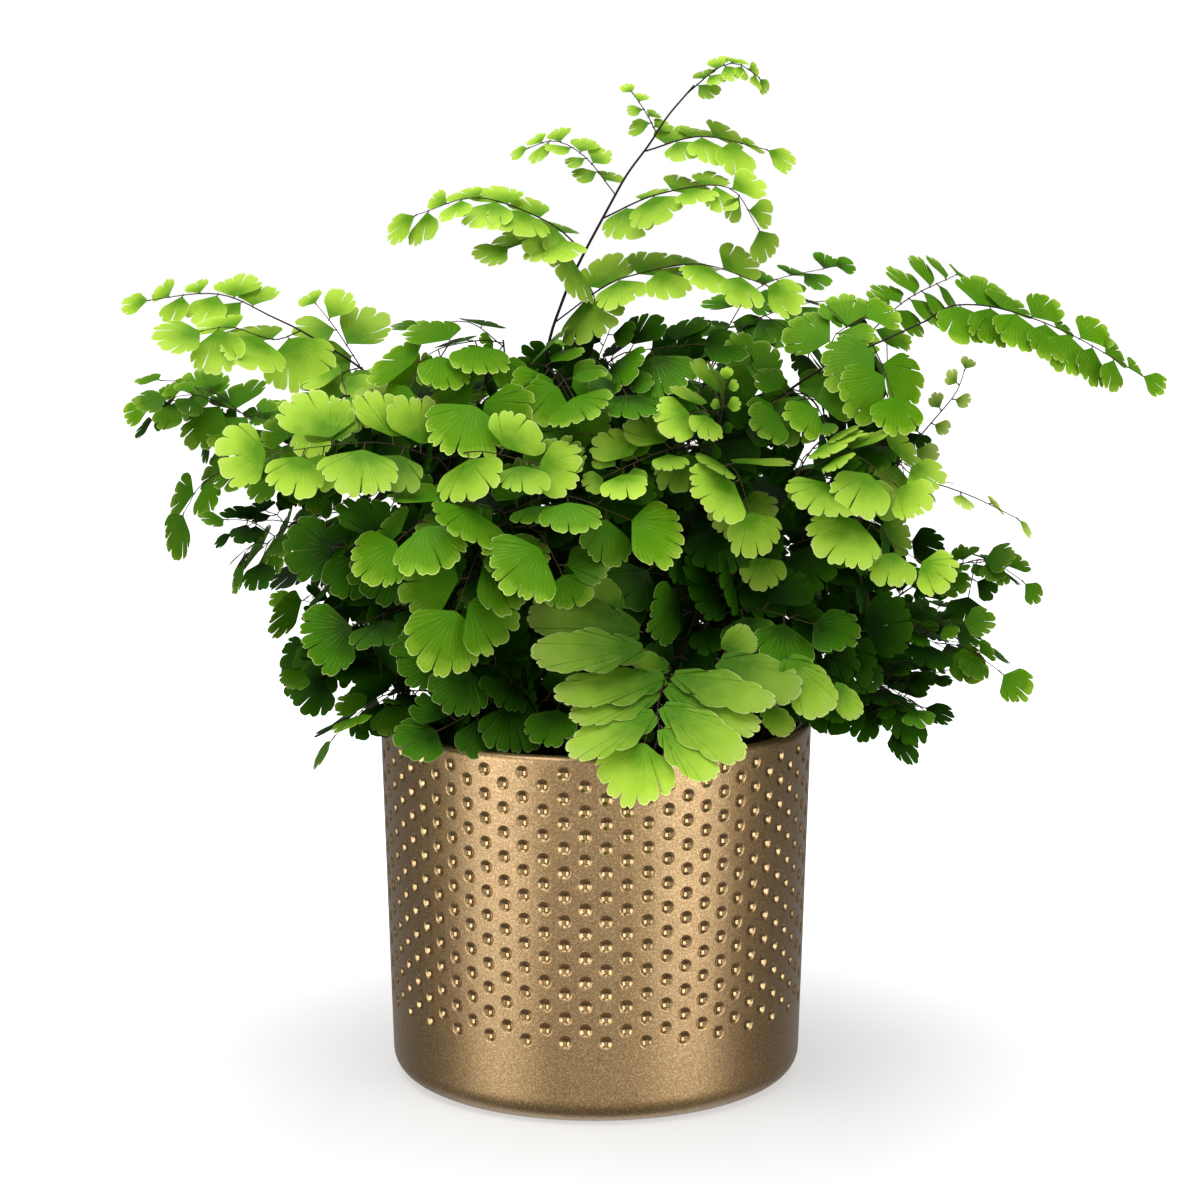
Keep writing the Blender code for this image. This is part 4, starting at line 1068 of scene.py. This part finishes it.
def build_pot(settings):
    """Dimpled wall, rounded lip, inside down past the soil, and the foot."""
    wall = Wall(settings)
    for column in range(settings.dimple_columns):
        odd = column % 2
        for row in range(settings.dimple_rows - odd):
            add_dimple(wall, column, 4 * row + 2 * odd)
        if odd:
            for up in (0, 1, wall.top - 2, wall.top - 1):
                for a in range(4):
                    k = 4 * column + a
                    wall.faces.append((wall.knot(k, up), wall.knot(k + 1, up),
                                       wall.knot(k + 1, up + 1), wall.knot(k, up + 1)))
    rim = wall_radius(POT_HEIGHT - LIP)
    above = [[wall.knot(k, wall.top) for k in range(4 * settings.dimple_columns)]]
    for k in range(ROUND_STEPS + 1):
        a = math.pi * k / ROUND_STEPS
        above.append(wall.ring(rim - WALL / 2 + WALL / 2 * math.cos(a),
                               POT_HEIGHT - LIP + LIP * math.sin(a)))
    for drop in (4, 9, 15, 22):
        above.append(wall.ring(rim - WALL - 0.03 * drop * MM, POT_HEIGHT - LIP - drop * MM))
    below = [[wall.knot(k, 0) for k in range(4 * settings.dimple_columns)]]
    for z in (17, 12, 8.5):
        below.append(wall.ring(wall_radius(z * MM), z * MM))
    for k in range(ROUND_STEPS, -1, -1):
        a = math.radians(90) * k / ROUND_STEPS
        below.append(wall.ring(BASE_RADIUS - CORNER + CORNER * math.sin(a),
                               CORNER - CORNER * math.cos(a)))
    for radius, z in FOOT_RINGS:
        below.append(wall.ring(radius, z))
    for lower, upper in zip(above, above[1:]):
        wall.join(lower, upper)
    for upper, lower in zip(below, below[1:]):
        wall.join(lower, upper)
    middle = wall.point(0, FOOT_HOLLOW, 0)
    last = below[-1]
    wall.faces += [(last[(k + 1) % len(last)], last[k], middle) for k in range(len(last))]
    pot = plain_piece("pot_glazed", wall.verts, wall.faces)
    hollow = pot.data.attributes.new("hollow", 'FLOAT', 'POINT')
    hollow.data.foreach_set("value", wall.hollow)
    return pot


def plain_piece(name, verts, faces):
    """Smooth object of the given points and faces, in the scene."""
    mesh = bpy.data.meshes.new(name)
    mesh.from_pydata(verts, [], faces)
    mesh.shade_smooth()
    obj = bpy.data.objects.new(name, mesh)
    bpy.context.scene.collection.objects.link(obj)
    return obj


# --- soil -----------------------------------------------------------------------
SOIL_RINGS, SOIL_SIDES = 44, 120
SKIRT_FOOT = 8 * MM           # height of the compost's underside


def build_soil(settings):
    """Crumbly mound of compost, its grains raised by noise, with a skirt down
    the inside of the pot."""
    inner = BASE_RADIUS - WALL - 0.5 * MM
    edge = inner + (RIM_RADIUS - BASE_RADIUS) * 0.86 - 0.6 * MM
    rings, count = SOIL_RINGS, SOIL_SIDES
    verts, faces = [], []
    for r in range(rings + 1):
        radius = edge * (r / rings) ** 0.8
        for k in range(count):
            a = 2 * math.pi * k / count
            x, y = radius * math.cos(a), radius * math.sin(a)
            mound = SOIL_MOUND * min(1.0, max(0.0, (edge - radius) / (0.5 * edge)))
            grain = noise.noise(Vector((x, y, 0)) / settings.grain) + 0.6 * noise.noise(
                Vector((x, y, 7)) / (0.45 * settings.grain))
            clod = noise.noise(Vector((x, y, 3)) / (4 * settings.grain))
            verts.append((x, y, SOIL_LEVEL + mound + settings.roughness * (grain + 0.8 * clod)
                          - 0.4 * MM))
    verts += [((inner - 1 * MM) * math.cos(2 * math.pi * k / count),
               (inner - 1 * MM) * math.sin(2 * math.pi * k / count), SKIRT_FOOT)
              for k in range(count)]
    for r in range(rings + 1):
        for k in range(count):
            n = (k + 1) % count
            faces.append((r * count + k, (r + 1) * count + k, (r + 1) * count + n, r * count + n))
    faces.append(tuple((rings + 1) * count + k for k in reversed(range(count))))
    return plain_piece("soil_compost", verts, faces)


# --- finishes ---------------------------------------------------------------------
def linear(code):
    """Linear colour of an sRGB hex value."""
    shades = [int(code[k:k + 2], 16) / 255 for k in (0, 2, 4)]
    return tuple(c / 12.92 if c <= 0.04045 else ((c + 0.055) / 1.055) ** 2.4 for c in shades)


def add(tree, kind, settings=None, links=None):
    """Adds a node with its settings (properties or unlinked inputs) and links."""
    node = tree.nodes.new(kind)
    for key, value in (settings or {}).items():
        if key == "stops":
            ramp = node.color_ramp.elements
            while len(ramp) < len(value):
                ramp.new(0.5)
            for element, (place, colour) in zip(ramp, value):
                element.position = place
                element.color = (*colour[:3], 1.0)
        elif isinstance(key, str) and hasattr(node, key):
            setattr(node, key, value)
        else:
            node.inputs[key].default_value = value
    for key, source in (links or {}).items():
        tree.links.new(source, node.inputs[key])
    return node


def new_finish(name, settings):
    """Material with one Principled shader, its single values set on its own sockets."""
    mat = bpy.data.materials.new(name)
    mat.use_nodes = True
    shader = mat.node_tree.nodes["Principled BSDF"]
    for key, value in settings.items():
        shader.inputs[key].default_value = value
    return mat, mat.node_tree, shader


GLAZE_GRAIN = 0.45 * MM       # the glaze's orange peel
GLAZE_FLECK = 1.1 * MM
GLAZE_FLOW = 22 * MM          # slow change of gloss where the glaze ran
PEAT_CRUMB, PEAT_FIBRE = 1.6 * MM, 3.5 * MM
STALK_STREAK = 1.2 * MM
LEAF_BLOTCH, LEAF_GRAIN = 5 * MM, 0.5 * MM


def metallic_glaze(settings):
    """Bronze metallic glaze, fired on moulded stoneware: a satin mirror under a
    clear skin, which blurs the lights but is glassy where it pools in the
    dimples, broken by a fine orange-peel grain and paler flecks."""
    mat, tree, shader = new_finish("bronze_metallic_glaze", {"Metallic": 0.95, "Coat Weight": 1.0,
                                                             "Coat IOR": 1.75})
    place = add(tree, "ShaderNodeTexCoord")
    fine = add(tree, "ShaderNodeTexNoise",
               {"Scale": 1 / GLAZE_GRAIN, "Detail": 3.0, "Roughness": 0.6},
               {"Vector": place.outputs["Object"]})
    fleck = add(tree, "ShaderNodeTexVoronoi", {"Scale": 1 / GLAZE_FLECK},
                {"Vector": place.outputs["Object"]})
    flow = add(tree, "ShaderNodeTexNoise", {"Scale": 1 / GLAZE_FLOW, "Detail": 2.0},
               {"Vector": place.outputs["Object"]})
    body = add(tree, "ShaderNodeValToRGB",
               {"stops": [(0.3, settings.glaze_dark), (0.5, settings.glaze),
                          (0.72, settings.glaze_light)]},
               {"Fac": fine.outputs["Fac"]})
    speck = add(tree, "ShaderNodeMapRange",
                {"From Min": 0.16, "From Max": 0.3, "To Min": 0.55, "To Max": 0.0},
                {"Value": fleck.outputs["Distance"]})
    colour = add(tree, "ShaderNodeMix", {"data_type": 'RGBA', 7: (*settings.glaze_light, 1)},
                 {0: speck.outputs["Result"], 6: body.outputs["Color"]})
    rough = add(tree, "ShaderNodeMapRange",
                {"From Min": 0.3, "From Max": 0.7, "To Min": 0.38, "To Max": 0.44},
                {"Value": flow.outputs["Fac"]})
    hollow = add(tree, "ShaderNodeAttribute", {"attribute_name": "hollow"})
    pooled = add(tree, "ShaderNodeMix", {"data_type": 'FLOAT', 3: 0.13},
                 {0: hollow.outputs["Fac"], 2: rough.outputs["Result"]})
    bump = add(tree, "ShaderNodeBump", {"Strength": 0.4, "Distance": 0.05 * MM},
               {"Height": fine.outputs["Fac"]})
    tree.links.new(colour.outputs[2], shader.inputs["Base Color"])
    skin = add(tree, "ShaderNodeMapRange", {"To Min": 0.36, "To Max": 0.08},
               {"Value": hollow.outputs["Fac"]})
    tree.links.new(skin.outputs["Result"], shader.inputs["Coat Roughness"])
    tree.links.new(pooled.outputs[0], shader.inputs["Roughness"])
    tree.links.new(bump.outputs["Normal"], shader.inputs["Normal"])
    return mat


def peat(settings):
    """Moist peat compost, crumbled: near-black crumbs with paler fibres, no shine."""
    mat, tree, shader = new_finish("moist_peat_compost",
                                   {"Roughness": 0.95, "Specular IOR Level": 0.25})
    place = add(tree, "ShaderNodeTexCoord")
    crumb = add(tree, "ShaderNodeTexNoise",
                {"Scale": 1 / PEAT_CRUMB, "Detail": 5.0, "Roughness": 0.7},
                {"Vector": place.outputs["Object"]})
    fibre = add(tree, "ShaderNodeTexVoronoi", {"Scale": 1 / PEAT_FIBRE},
                {"Vector": place.outputs["Object"]})
    body = add(tree, "ShaderNodeValToRGB",
               {"stops": [(0.3, settings.soil_dark), (0.62, settings.soil_brown),
                          (0.8, settings.soil_fibre)]},
               {"Fac": crumb.outputs["Fac"]})
    height = add(tree, "ShaderNodeMath", {"operation": 'ADD'},
                 {0: crumb.outputs["Fac"], 1: fibre.outputs["Distance"]})
    bump = add(tree, "ShaderNodeBump", {"Strength": 0.8, "Distance": 0.8 * MM},
               {"Height": height.outputs[0]})
    tree.links.new(body.outputs["Color"], shader.inputs["Base Color"])
    tree.links.new(bump.outputs["Normal"], shader.inputs["Normal"])
    return mat


def wiry_stalk(settings):
    """Fern stalk, dried to polished black-brown wire below and greener at its tips:
    a hard, glossy skin with fine lengthwise streaks."""
    mat, tree, shader = new_finish("black_wiry_stalk",
                                   {"Roughness": 0.4, "Specular IOR Level": 0.18})
    mark = add(tree, "ShaderNodeAttribute", {"attribute_name": "leaf"})
    parts = add(tree, "ShaderNodeSeparateXYZ", None, {0: mark.outputs["Vector"]})
    place = add(tree, "ShaderNodeTexCoord")
    streak = add(tree, "ShaderNodeTexNoise", {"Scale": 1 / STALK_STREAK, "Detail": 2.0},
                 {"Vector": place.outputs["Object"]})
    shift = add(tree, "ShaderNodeMath", {"operation": 'MULTIPLY_ADD', 1: 0.3},
                {0: streak.outputs["Fac"], 2: parts.outputs["X"]})
    ramp = add(tree, "ShaderNodeValToRGB",
               {"stops": [(0.2, settings.stalk_dark), (0.72, settings.stalk_brown),
                          (1.0, settings.stalk_young)]},
               {"Fac": shift.outputs[0]})
    bump = add(tree, "ShaderNodeBump", {"Strength": 0.3, "Distance": 0.08 * MM},
               {"Height": streak.outputs["Fac"]})
    tree.links.new(ramp.outputs["Color"], shader.inputs["Base Color"])
    tree.links.new(bump.outputs["Normal"], shader.inputs["Normal"])
    return mat


def leaf_blade(name, inner, body, outer, pale, vein_share):
    """Living maidenhair leaf: a thin, water-shedding blade with a soft gloss, darker
    at its stalk, lit through from behind, with fine forking veins and a pale edge."""
    mat, tree, shader = new_finish(name, {"Roughness": 0.5, "Specular IOR Level": 0.14,
                                          "Specular Tint": (0.7, 0.9, 0.45, 1)})
    mark = add(tree, "ShaderNodeAttribute", {"attribute_name": "leaf"})
    parts = add(tree, "ShaderNodeSeparateXYZ", None, {0: mark.outputs["Vector"]})
    tint = add(tree, "ShaderNodeAttribute", {"attribute_name": "tint"})
    place = add(tree, "ShaderNodeTexCoord")
    blotch = add(tree, "ShaderNodeTexNoise", {"Scale": 1 / LEAF_BLOTCH, "Detail": 3.0},
                 {"Vector": place.outputs["Object"]})
    grain = add(tree, "ShaderNodeTexNoise", {"Scale": 1 / LEAF_GRAIN, "Detail": 2.0},
                {"Vector": place.outputs["Object"]})
    shift = add(tree, "ShaderNodeMath", {"operation": 'MULTIPLY_ADD', 1: 0.34, 2: -0.17},
                {0: blotch.outputs["Fac"]})
    reach = add(tree, "ShaderNodeMath", {"operation": 'ADD'},
                {0: parts.outputs["Y"], 1: shift.outputs[0]})
    ramp = add(tree, "ShaderNodeValToRGB", {"stops": [(0.2, inner), (0.76, body), (1.0, outer)]},
               {"Fac": reach.outputs[0]})
    veins = []
    for count in (1.0, 2.0):
        spread = add(tree, "ShaderNodeMath", {"operation": 'MULTIPLY', 1: count},
                     {0: parts.outputs["X"]})
        wave = add(tree, "ShaderNodeMath", {"operation": 'PINGPONG', 1: 0.5},
                   {0: spread.outputs[0]})
        veins.append(add(tree, "ShaderNodeMapRange",
                         {"From Min": 0.0, "From Max": 0.15, "To Min": 1.0,
                          "To Max": 0.0,
                          "interpolation_type": 'SMOOTHSTEP'},
                         {"Value": wave.outputs[0]}))
    fork = add(tree, "ShaderNodeMapRange", {"From Min": 0.4, "From Max": 0.62},
               {"Value": parts.outputs["Y"]})
    vein = add(tree, "ShaderNodeMix", {"data_type": 'FLOAT'},
               {0: fork.outputs["Result"], 2: veins[0].outputs["Result"],
                3: veins[1].outputs["Result"]})
    some = add(tree, "ShaderNodeMapRange",
               {"From Min": 0.35, "From Max": 0.65, "To Max": vein_share},
               {"Value": blotch.outputs["Fac"]})
    veined = add(tree, "ShaderNodeMath", {"operation": 'MULTIPLY'},
                 {0: vein.outputs[0], 1: some.outputs["Result"]})
    lined = add(tree, "ShaderNodeMix", {"data_type": 'RGBA', 7: (*pale, 1)},
                {0: veined.outputs[0], 6: ramp.outputs["Color"]})
    edge = add(tree, "ShaderNodeMapRange", {"From Min": 0.975, "From Max": 0.988, "To Max": 0.75},
               {"Value": parts.outputs["Z"]})
    edged = add(tree, "ShaderNodeMix", {"data_type": 'RGBA', 7: (*pale, 1)},
                {0: edge.outputs["Result"], 6: lined.outputs[2]})
    hue = add(tree, "ShaderNodeMapRange", {"To Min": 0.505, "To Max": 0.489},
              {"Value": tint.outputs["Fac"]})
    # brightness from the leaflet's tone attribute, which holds random tone, youth and painted shade
    # under covering leaflets
    light = add(tree, "ShaderNodeMapRange", {"To Min": 0.36, "To Max": 1.42},
                {"Value": tint.outputs["Fac"]})
    colour = add(tree, "ShaderNodeHueSaturation", None,
                 {"Hue": hue.outputs["Result"], "Value": light.outputs["Result"],
                  "Color": edged.outputs[2]})
    height = add(tree, "ShaderNodeMath", {"operation": 'MULTIPLY_ADD', 1: 0.15},
                 {0: grain.outputs["Fac"], 2: vein.outputs[0]})
    bump = add(tree, "ShaderNodeBump", {"Strength": 0.2, "Distance": 0.06 * MM},
               {"Height": height.outputs[0]})
    through = add(tree, "ShaderNodeBsdfTranslucent", None, {"Color": colour.outputs["Color"]})
    both = add(tree, "ShaderNodeMixShader", {0: 0.25},
               {1: shader.outputs[0], 2: through.outputs[0]})
    tree.links.new(colour.outputs["Color"], shader.inputs["Base Color"])
    tree.links.new(bump.outputs["Normal"], shader.inputs["Normal"])
    out = next(n for n in tree.nodes if n.type == 'OUTPUT_MATERIAL')
    tree.links.new(both.outputs[0], out.inputs["Surface"])
    return mat


def studio_floor(settings):
    """Matt white paper sweep, rolled out, without shine, with a painted glow that only the camera
    sees: weakest near the pot, stronger farther out.
    """
    mat, tree, shader = new_finish("white_paper_sweep",
                                   {"Roughness": 0.9, "Base Color": (0.4, 0.4, 0.4, 1),
                                    "Emission Color": (1, 1, 1, 1)})
    place = add(tree, "ShaderNodeTexCoord")
    far = add(tree, "ShaderNodeVectorMath", {"operation": 'DISTANCE', 1: (0, -0.06, 0)},
              {0: place.outputs["Object"]})
    # painted glow, for camera rays only, weakest near the pot
    glow = add(tree, "ShaderNodeMapRange",
               {"From Min": 0.08, "From Max": 0.34, "To Min": settings.floor_glow,
                "To Max": settings.floor_glow + 0.58},
               {"Value": far.outputs["Value"]})
    path = add(tree, "ShaderNodeLightPath")
    seen = add(tree, "ShaderNodeMath", {"operation": 'MULTIPLY'},
               {0: glow.outputs["Result"], 1: path.outputs["Is Camera Ray"]})
    tree.links.new(seen.outputs[0], shader.inputs["Emission Strength"])
    return mat


# --- settings ---------------------------------------------------------------------
def size(name, description, default):
    """A length that the user may change."""
    return FloatProperty(name=name, description=description, default=default, min=0.0,
                         unit='LENGTH',
                         precision=5)


def colour(name, description, code):
    """A colour that the user may change, given as sRGB hex."""
    return FloatVectorProperty(name=name, description=description, default=linear(code), size=3,
                               subtype='COLOR', min=0.0, max=1.0)


class PotSettings(bpy.types.PropertyGroup):
    dimple_columns: IntProperty(name="Dimple columns",
                                description="Columns of dimples round the pot",
                                default=2 * DIMPLE_COLUMNS, min=8)
    dimple_rows: IntProperty(name="Dimple rows", description="Dimples in a full column",
                             default=12, min=2)
    dimple_pitch: size("Dimple pitch", "Height from one dimple to the next in a column", 7.1 * MM)
    dimple_start: size("Band start", "Height of the dimpled band's lower edge", 21.35 * MM)
    dimple_width: size("Dimple width", "Across one dimple", 4.0 * MM)
    dimple_depth: size("Dimple depth", "Depth of one dimple", 0.95 * MM)
    glaze: colour("Glaze", "Bronze body of the glaze", "AA8243")
    glaze_dark: colour("Glaze, thin", "Where the glaze is thin", "7C5A2A")
    glaze_light: colour("Glaze, flecks", "Paler flecks in the glaze", "D8BC88")


class SoilSettings(bpy.types.PropertyGroup):
    grain: size("Grain", "Width of a crumb", 2.6 * MM)
    roughness: size("Crumb height", "How far the crumbs stand up", 0.8 * MM)
    soil_dark: colour("Wet crumbs", "Darkest crumbs", "120C08")
    soil_brown: colour("Peat", "Body of the peat", "2C2018")
    soil_fibre: colour("Fibres", "Paler fibres", "5C4632")


class FernSettings(bpy.types.PropertyGroup):
    stalk_diameter: size("Stalk diameter", "Thickness of a stalk at its foot", 1.2 * MM)
    leaflet_spacing: size("Leaflet spacing", "Between the extra leaflets on a rib", 5.5 * MM)
    fill_tries: IntProperty(name="Fill",
                            description="Places tried for leaflets in the fern's middle",
                            default=3000, min=0)
    stalk_dark: colour("Old stalk", "Stalks near their foot", "160C09")
    stalk_brown: colour("Stalk", "Ribs", "21150D")
    stalk_young: colour("Young stalk", "Finest stalks", "43361A")
    # inner: dark green painted as shade on leaflets under many others, and at the stalk end of the
    # shaded leaves
    inner: colour("Inmost leaves", "Leaves deep inside the fern, and stalk ends", "123402")
    deep: colour("Shaded leaves", "Body of the leaves inside the fern", "3C7806")
    fresh: colour("Fresh leaves", "Body of most leaves", "528608")
    bright: colour("Bright leaves", "Body of the brightest leaves", "98C238")
    young: colour("Young leaves", "Body of the unfolding leaves", "B4CE5E")
    margin: colour("Leaf edge", "Pale edge of a leaf", "E4EEA4")


class StageSettings(bpy.types.PropertyGroup):
    left_power: FloatProperty(name="Left light", description="Power of the left softbox",
                              default=8.2,
                              min=0.0, unit='POWER')
    right_power: FloatProperty(name="Right light", description="Power of the right softbox",
                               default=8.8,
                               min=0.0, unit='POWER')
    front_power: FloatProperty(name="Front light", description="Power of the weak front fill",
                               default=6.0,
                               min=0.0, unit='POWER')
    top_power: FloatProperty(name="Top light", description="Power of the overhead softbox",
                             default=22.0,
                             min=0.0, unit='POWER')
    surround: FloatProperty(name="Surround", description="Light from the white room all round",
                            default=0.12,
                            min=0.0)
    backdrop: FloatProperty(name="Backdrop", description="Light from the lit paper behind the pot",
                            default=0.28,
                            min=0.0)
    under: FloatProperty(name="Under", description="Light from the paper under the pot's edge",
                         default=0.9,
                         min=0.0)
    # floor_glow: strength of the glow painted on the paper, seen only by the camera
    floor_glow: FloatProperty(name="Floor glow", description="Brightness the lit paper adds",
                              default=0.52,
                              min=0.0)
    lens: FloatProperty(name="Lens", description="Focal length on a 36 mm frame", default=80.5,
                        unit='CAMERA')


# --- operators --------------------------------------------------------------------
class FERN_OT_pot(bpy.types.Operator):
    """Make the glazed pot with all its dimples"""
    bl_idname = "fern.pot"
    bl_label = "Pot"

    def execute(self, context):
        settings = context.scene.fern_pot
        pot = build_pot(settings)
        pot.data.materials.append(metallic_glaze(settings))
        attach(pot, "root")
        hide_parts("pot")
        return {'FINISHED'}


class FERN_OT_soil(bpy.types.Operator):
    """Make the compost in the pot"""
    bl_idname = "fern.soil"
    bl_label = "Compost"

    def execute(self, context):
        settings = context.scene.fern_soil
        soil = build_soil(settings)
        soil.data.materials.append(peat(settings))
        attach(soil, "root")
        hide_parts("soil")
        return {'FINISHED'}


def mixed(a, b, share):
    """Colour that share of the way from a to b."""
    return tuple(p + (q - p) * share for p, q in zip(a, b))


class FERN_OT_fronds(bpy.types.Operator):
    """Make every frond: stalks, leaflets and the fill of the fern's middle"""
    bl_idname = "fern.fronds"
    bl_label = "Fronds"

    def execute(self, context):
        settings = context.scene.fern_leaves
        plans = frond_plans()
        crowd, laid = lay_fronds(plans, (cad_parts["pot"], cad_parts["soil"]))
        extras = lay_extras(crowd, laid, plans, settings)
        stalk = wiry_stalk(settings)
        shades = {}
        for shade, inner, body, outer in (
                ("deep", settings.inner, settings.deep, settings.fresh),
                ("fresh", settings.deep, settings.fresh, settings.bright),
                ("bright", settings.deep, settings.bright, settings.young),
                ("pale", settings.fresh, settings.young, settings.margin)):
            shades[shade] = leaf_blade("maidenhair_leaf_" + shade,
                                       mixed(tuple(inner), tuple(body), 0.1),
                                       tuple(body), mixed(tuple(body), tuple(outer), 0.6),
                                       mixed(tuple(outer), tuple(settings.margin), 0.6), 0.14)
        # the darkest finish, painted shade for leaflets that many others cover
        shades["inner"] = leaf_blade("maidenhair_leaf_painted_shade", tuple(settings.inner),
                                     mixed(tuple(settings.inner), tuple(settings.deep), 0.5),
                                     tuple(settings.deep), tuple(settings.fresh), 0.12)
        for index, (name, (shade, stem, _)) in enumerate(plans.items()):
            shade = LOOKS.get(name, shade)
            rng = random.Random(SEED + 500 + index)
            sprays = [(path, leaflets) for path, _, _, leaflets in laid[name]]
            if name == "over_rim":
                sprays = sprays[:1]
            skin = frond_skin(stem, sprays + extras[name], rng, settings)
            frond = skin.make("fern_" + name, (stalk, shades[shade], shades["inner"]))
            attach(frond, "root")
            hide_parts("frond_" + name)
        return {'FINISHED'}


def softbox(name, place, aim, wide, tall, power):
    """Rectangular lamp at a place, turned to its aim and not seen itself."""
    light = bpy.data.lights.new(name, 'AREA')
    light.shape = 'RECTANGLE'
    light.size, light.size_y = wide, tall
    light.energy = power
    obj = bpy.data.objects.new(name, light)
    obj.location = place
    obj.rotation_euler = (Vector(aim) - Vector(place)).to_track_quat('-Z', 'Y').to_euler()
    obj.visible_camera = False
    bpy.context.scene.collection.objects.link(obj)
    return obj


CAMERA_PLACE = (0.0012, -0.8, 0.253)
CAMERA_TILT = math.radians(82.2)        # from straight down


class FERN_OT_stage(bpy.types.Operator):
    """Set up the white sweep, the softboxes and the camera"""
    bl_idname = "fern.stage"
    bl_label = "Stage"

    def execute(self, context):
        settings = context.scene.fern_stage
        floor = plain_piece("floor_sweep",
                            [(x, y, 0.0) for x, y in ((-9, -9), (9, -9), (9, 9), (-9, 9))],
                            [(0, 1, 2, 3)])
        floor.data.materials.append(studio_floor(settings))
        floor.visible_glossy = floor.visible_shadow = False
        for name, place, aim, wide, tall, power in (
                ("softbox_left", (-0.95, -0.76, 0.15), (0, 0, 0.1), 0.8, 1.1, settings.left_power),
                ("softbox_right", (0.9, -0.82, 0.15), (0, 0, 0.1), 0.85, 1.1, settings.right_power),
                ("softbox_front", (0.0, -1.8, 0.2), (0, 0, 0.2), 1.3, 2.4, settings.front_power),
                ("softbox_top", (-0.1, -0.25, 1.35), (0, 0, 0.15), 1.3, 1.3, settings.top_power)):
            softbox(name, place, aim, wide, tall, power)
        world = bpy.data.worlds.new("white_studio")
        world.use_nodes = True
        tree = world.node_tree
        sky = next(n for n in tree.nodes if n.type == 'BACKGROUND')
        sky.inputs["Color"].default_value = (1, 1, 1, 1)
        place = add(tree, "ShaderNodeTexCoord")
        parts = add(tree, "ShaderNodeSeparateXYZ", None, {0: place.outputs["Generated"]})
        behind = add(tree, "ShaderNodeMapRange",
                     {"From Min": 0.45, "From Max": 0.95, "To Min": settings.surround,
                      "To Max": settings.backdrop},
                     {"Value": parts.outputs["Y"]})
        down = add(tree, "ShaderNodeMapRange",
                   {"From Min": -0.6, "From Max": -0.95, "To Max": settings.under},
                   {"Value": parts.outputs["Z"]})
        back = add(tree, "ShaderNodeMapRange", {"From Min": 0.0, "From Max": 0.3},
                   {"Value": parts.outputs["Y"]})
        total = add(tree, "ShaderNodeMath", {"operation": 'MULTIPLY_ADD'},
                    {0: down.outputs["Result"], 1: back.outputs["Result"],
                     2: behind.outputs["Result"]})
        tree.links.new(total.outputs[0], sky.inputs["Strength"])
        white = add(tree, "ShaderNodeBackground", {"Color": (1, 1, 1, 1), "Strength": 1.0})
        path = add(tree, "ShaderNodeLightPath")
        seen = add(tree, "ShaderNodeMixShader", None,
                   {0: path.outputs["Is Camera Ray"], 1: sky.outputs[0], 2: white.outputs[0]})
        out = next(n for n in tree.nodes if n.type == 'OUTPUT_WORLD')
        tree.links.new(seen.outputs[0], out.inputs["Surface"])
        context.scene.world = world
        lens = bpy.data.cameras.new("camera")
        lens.lens, lens.sensor_width, lens.sensor_fit = settings.lens, 36.0, 'HORIZONTAL'
        lens.clip_start, lens.clip_end = 0.05, 50.0
        camera = bpy.data.objects.new("camera", lens)
        camera.location = CAMERA_PLACE
        camera.rotation_euler = (CAMERA_TILT, 0.0, 0.0)
        context.scene.collection.objects.link(camera)
        context.scene.camera = camera
        context.scene.view_settings.view_transform = 'Standard'
        return {'FINISHED'}


class FERN_PT_panel(bpy.types.Panel):
    """The fern's pieces and their settings"""
    bl_idname = "FERN_PT_panel"
    bl_label = "Potted maidenhair fern"
    bl_space_type = 'VIEW_3D'
    bl_region_type = 'UI'
    bl_category = "Fern"

    def draw(self, context):
        for group, operator in GROUPS:
            box = self.layout.box()
            settings = getattr(context.scene, group)
            for prop in settings.bl_rna.properties:
                if not prop.is_readonly and prop.identifier != "name":
                    box.prop(settings, prop.identifier)
            box.operator(operator)


GROUPS = (("fern_pot", "fern.pot"), ("fern_soil", "fern.soil"), ("fern_leaves", "fern.fronds"),
          ("fern_stage", "fern.stage"))
SETTINGS = (("fern_pot", PotSettings), ("fern_soil", SoilSettings), ("fern_leaves", FernSettings),
            ("fern_stage", StageSettings))
CLASSES = (PotSettings, SoilSettings, FernSettings, StageSettings, FERN_OT_pot, FERN_OT_soil,
           FERN_OT_fronds, FERN_OT_stage, FERN_PT_panel)


def register():
    for cls in CLASSES:
        bpy.utils.register_class(cls)
    for group, settings in SETTINGS:
        setattr(bpy.types.Scene, group, PointerProperty(type=settings))


def unregister():
    for group, _ in SETTINGS:
        delattr(bpy.types.Scene, group)
    for cls in reversed(CLASSES):
        bpy.utils.unregister_class(cls)


def main():
    """Makes every piece in order."""
    register()
    bpy.ops.fern.pot()
    bpy.ops.fern.soil()
    bpy.ops.fern.fronds()
    bpy.ops.fern.stage()


if __name__ == "__main__":
    main()
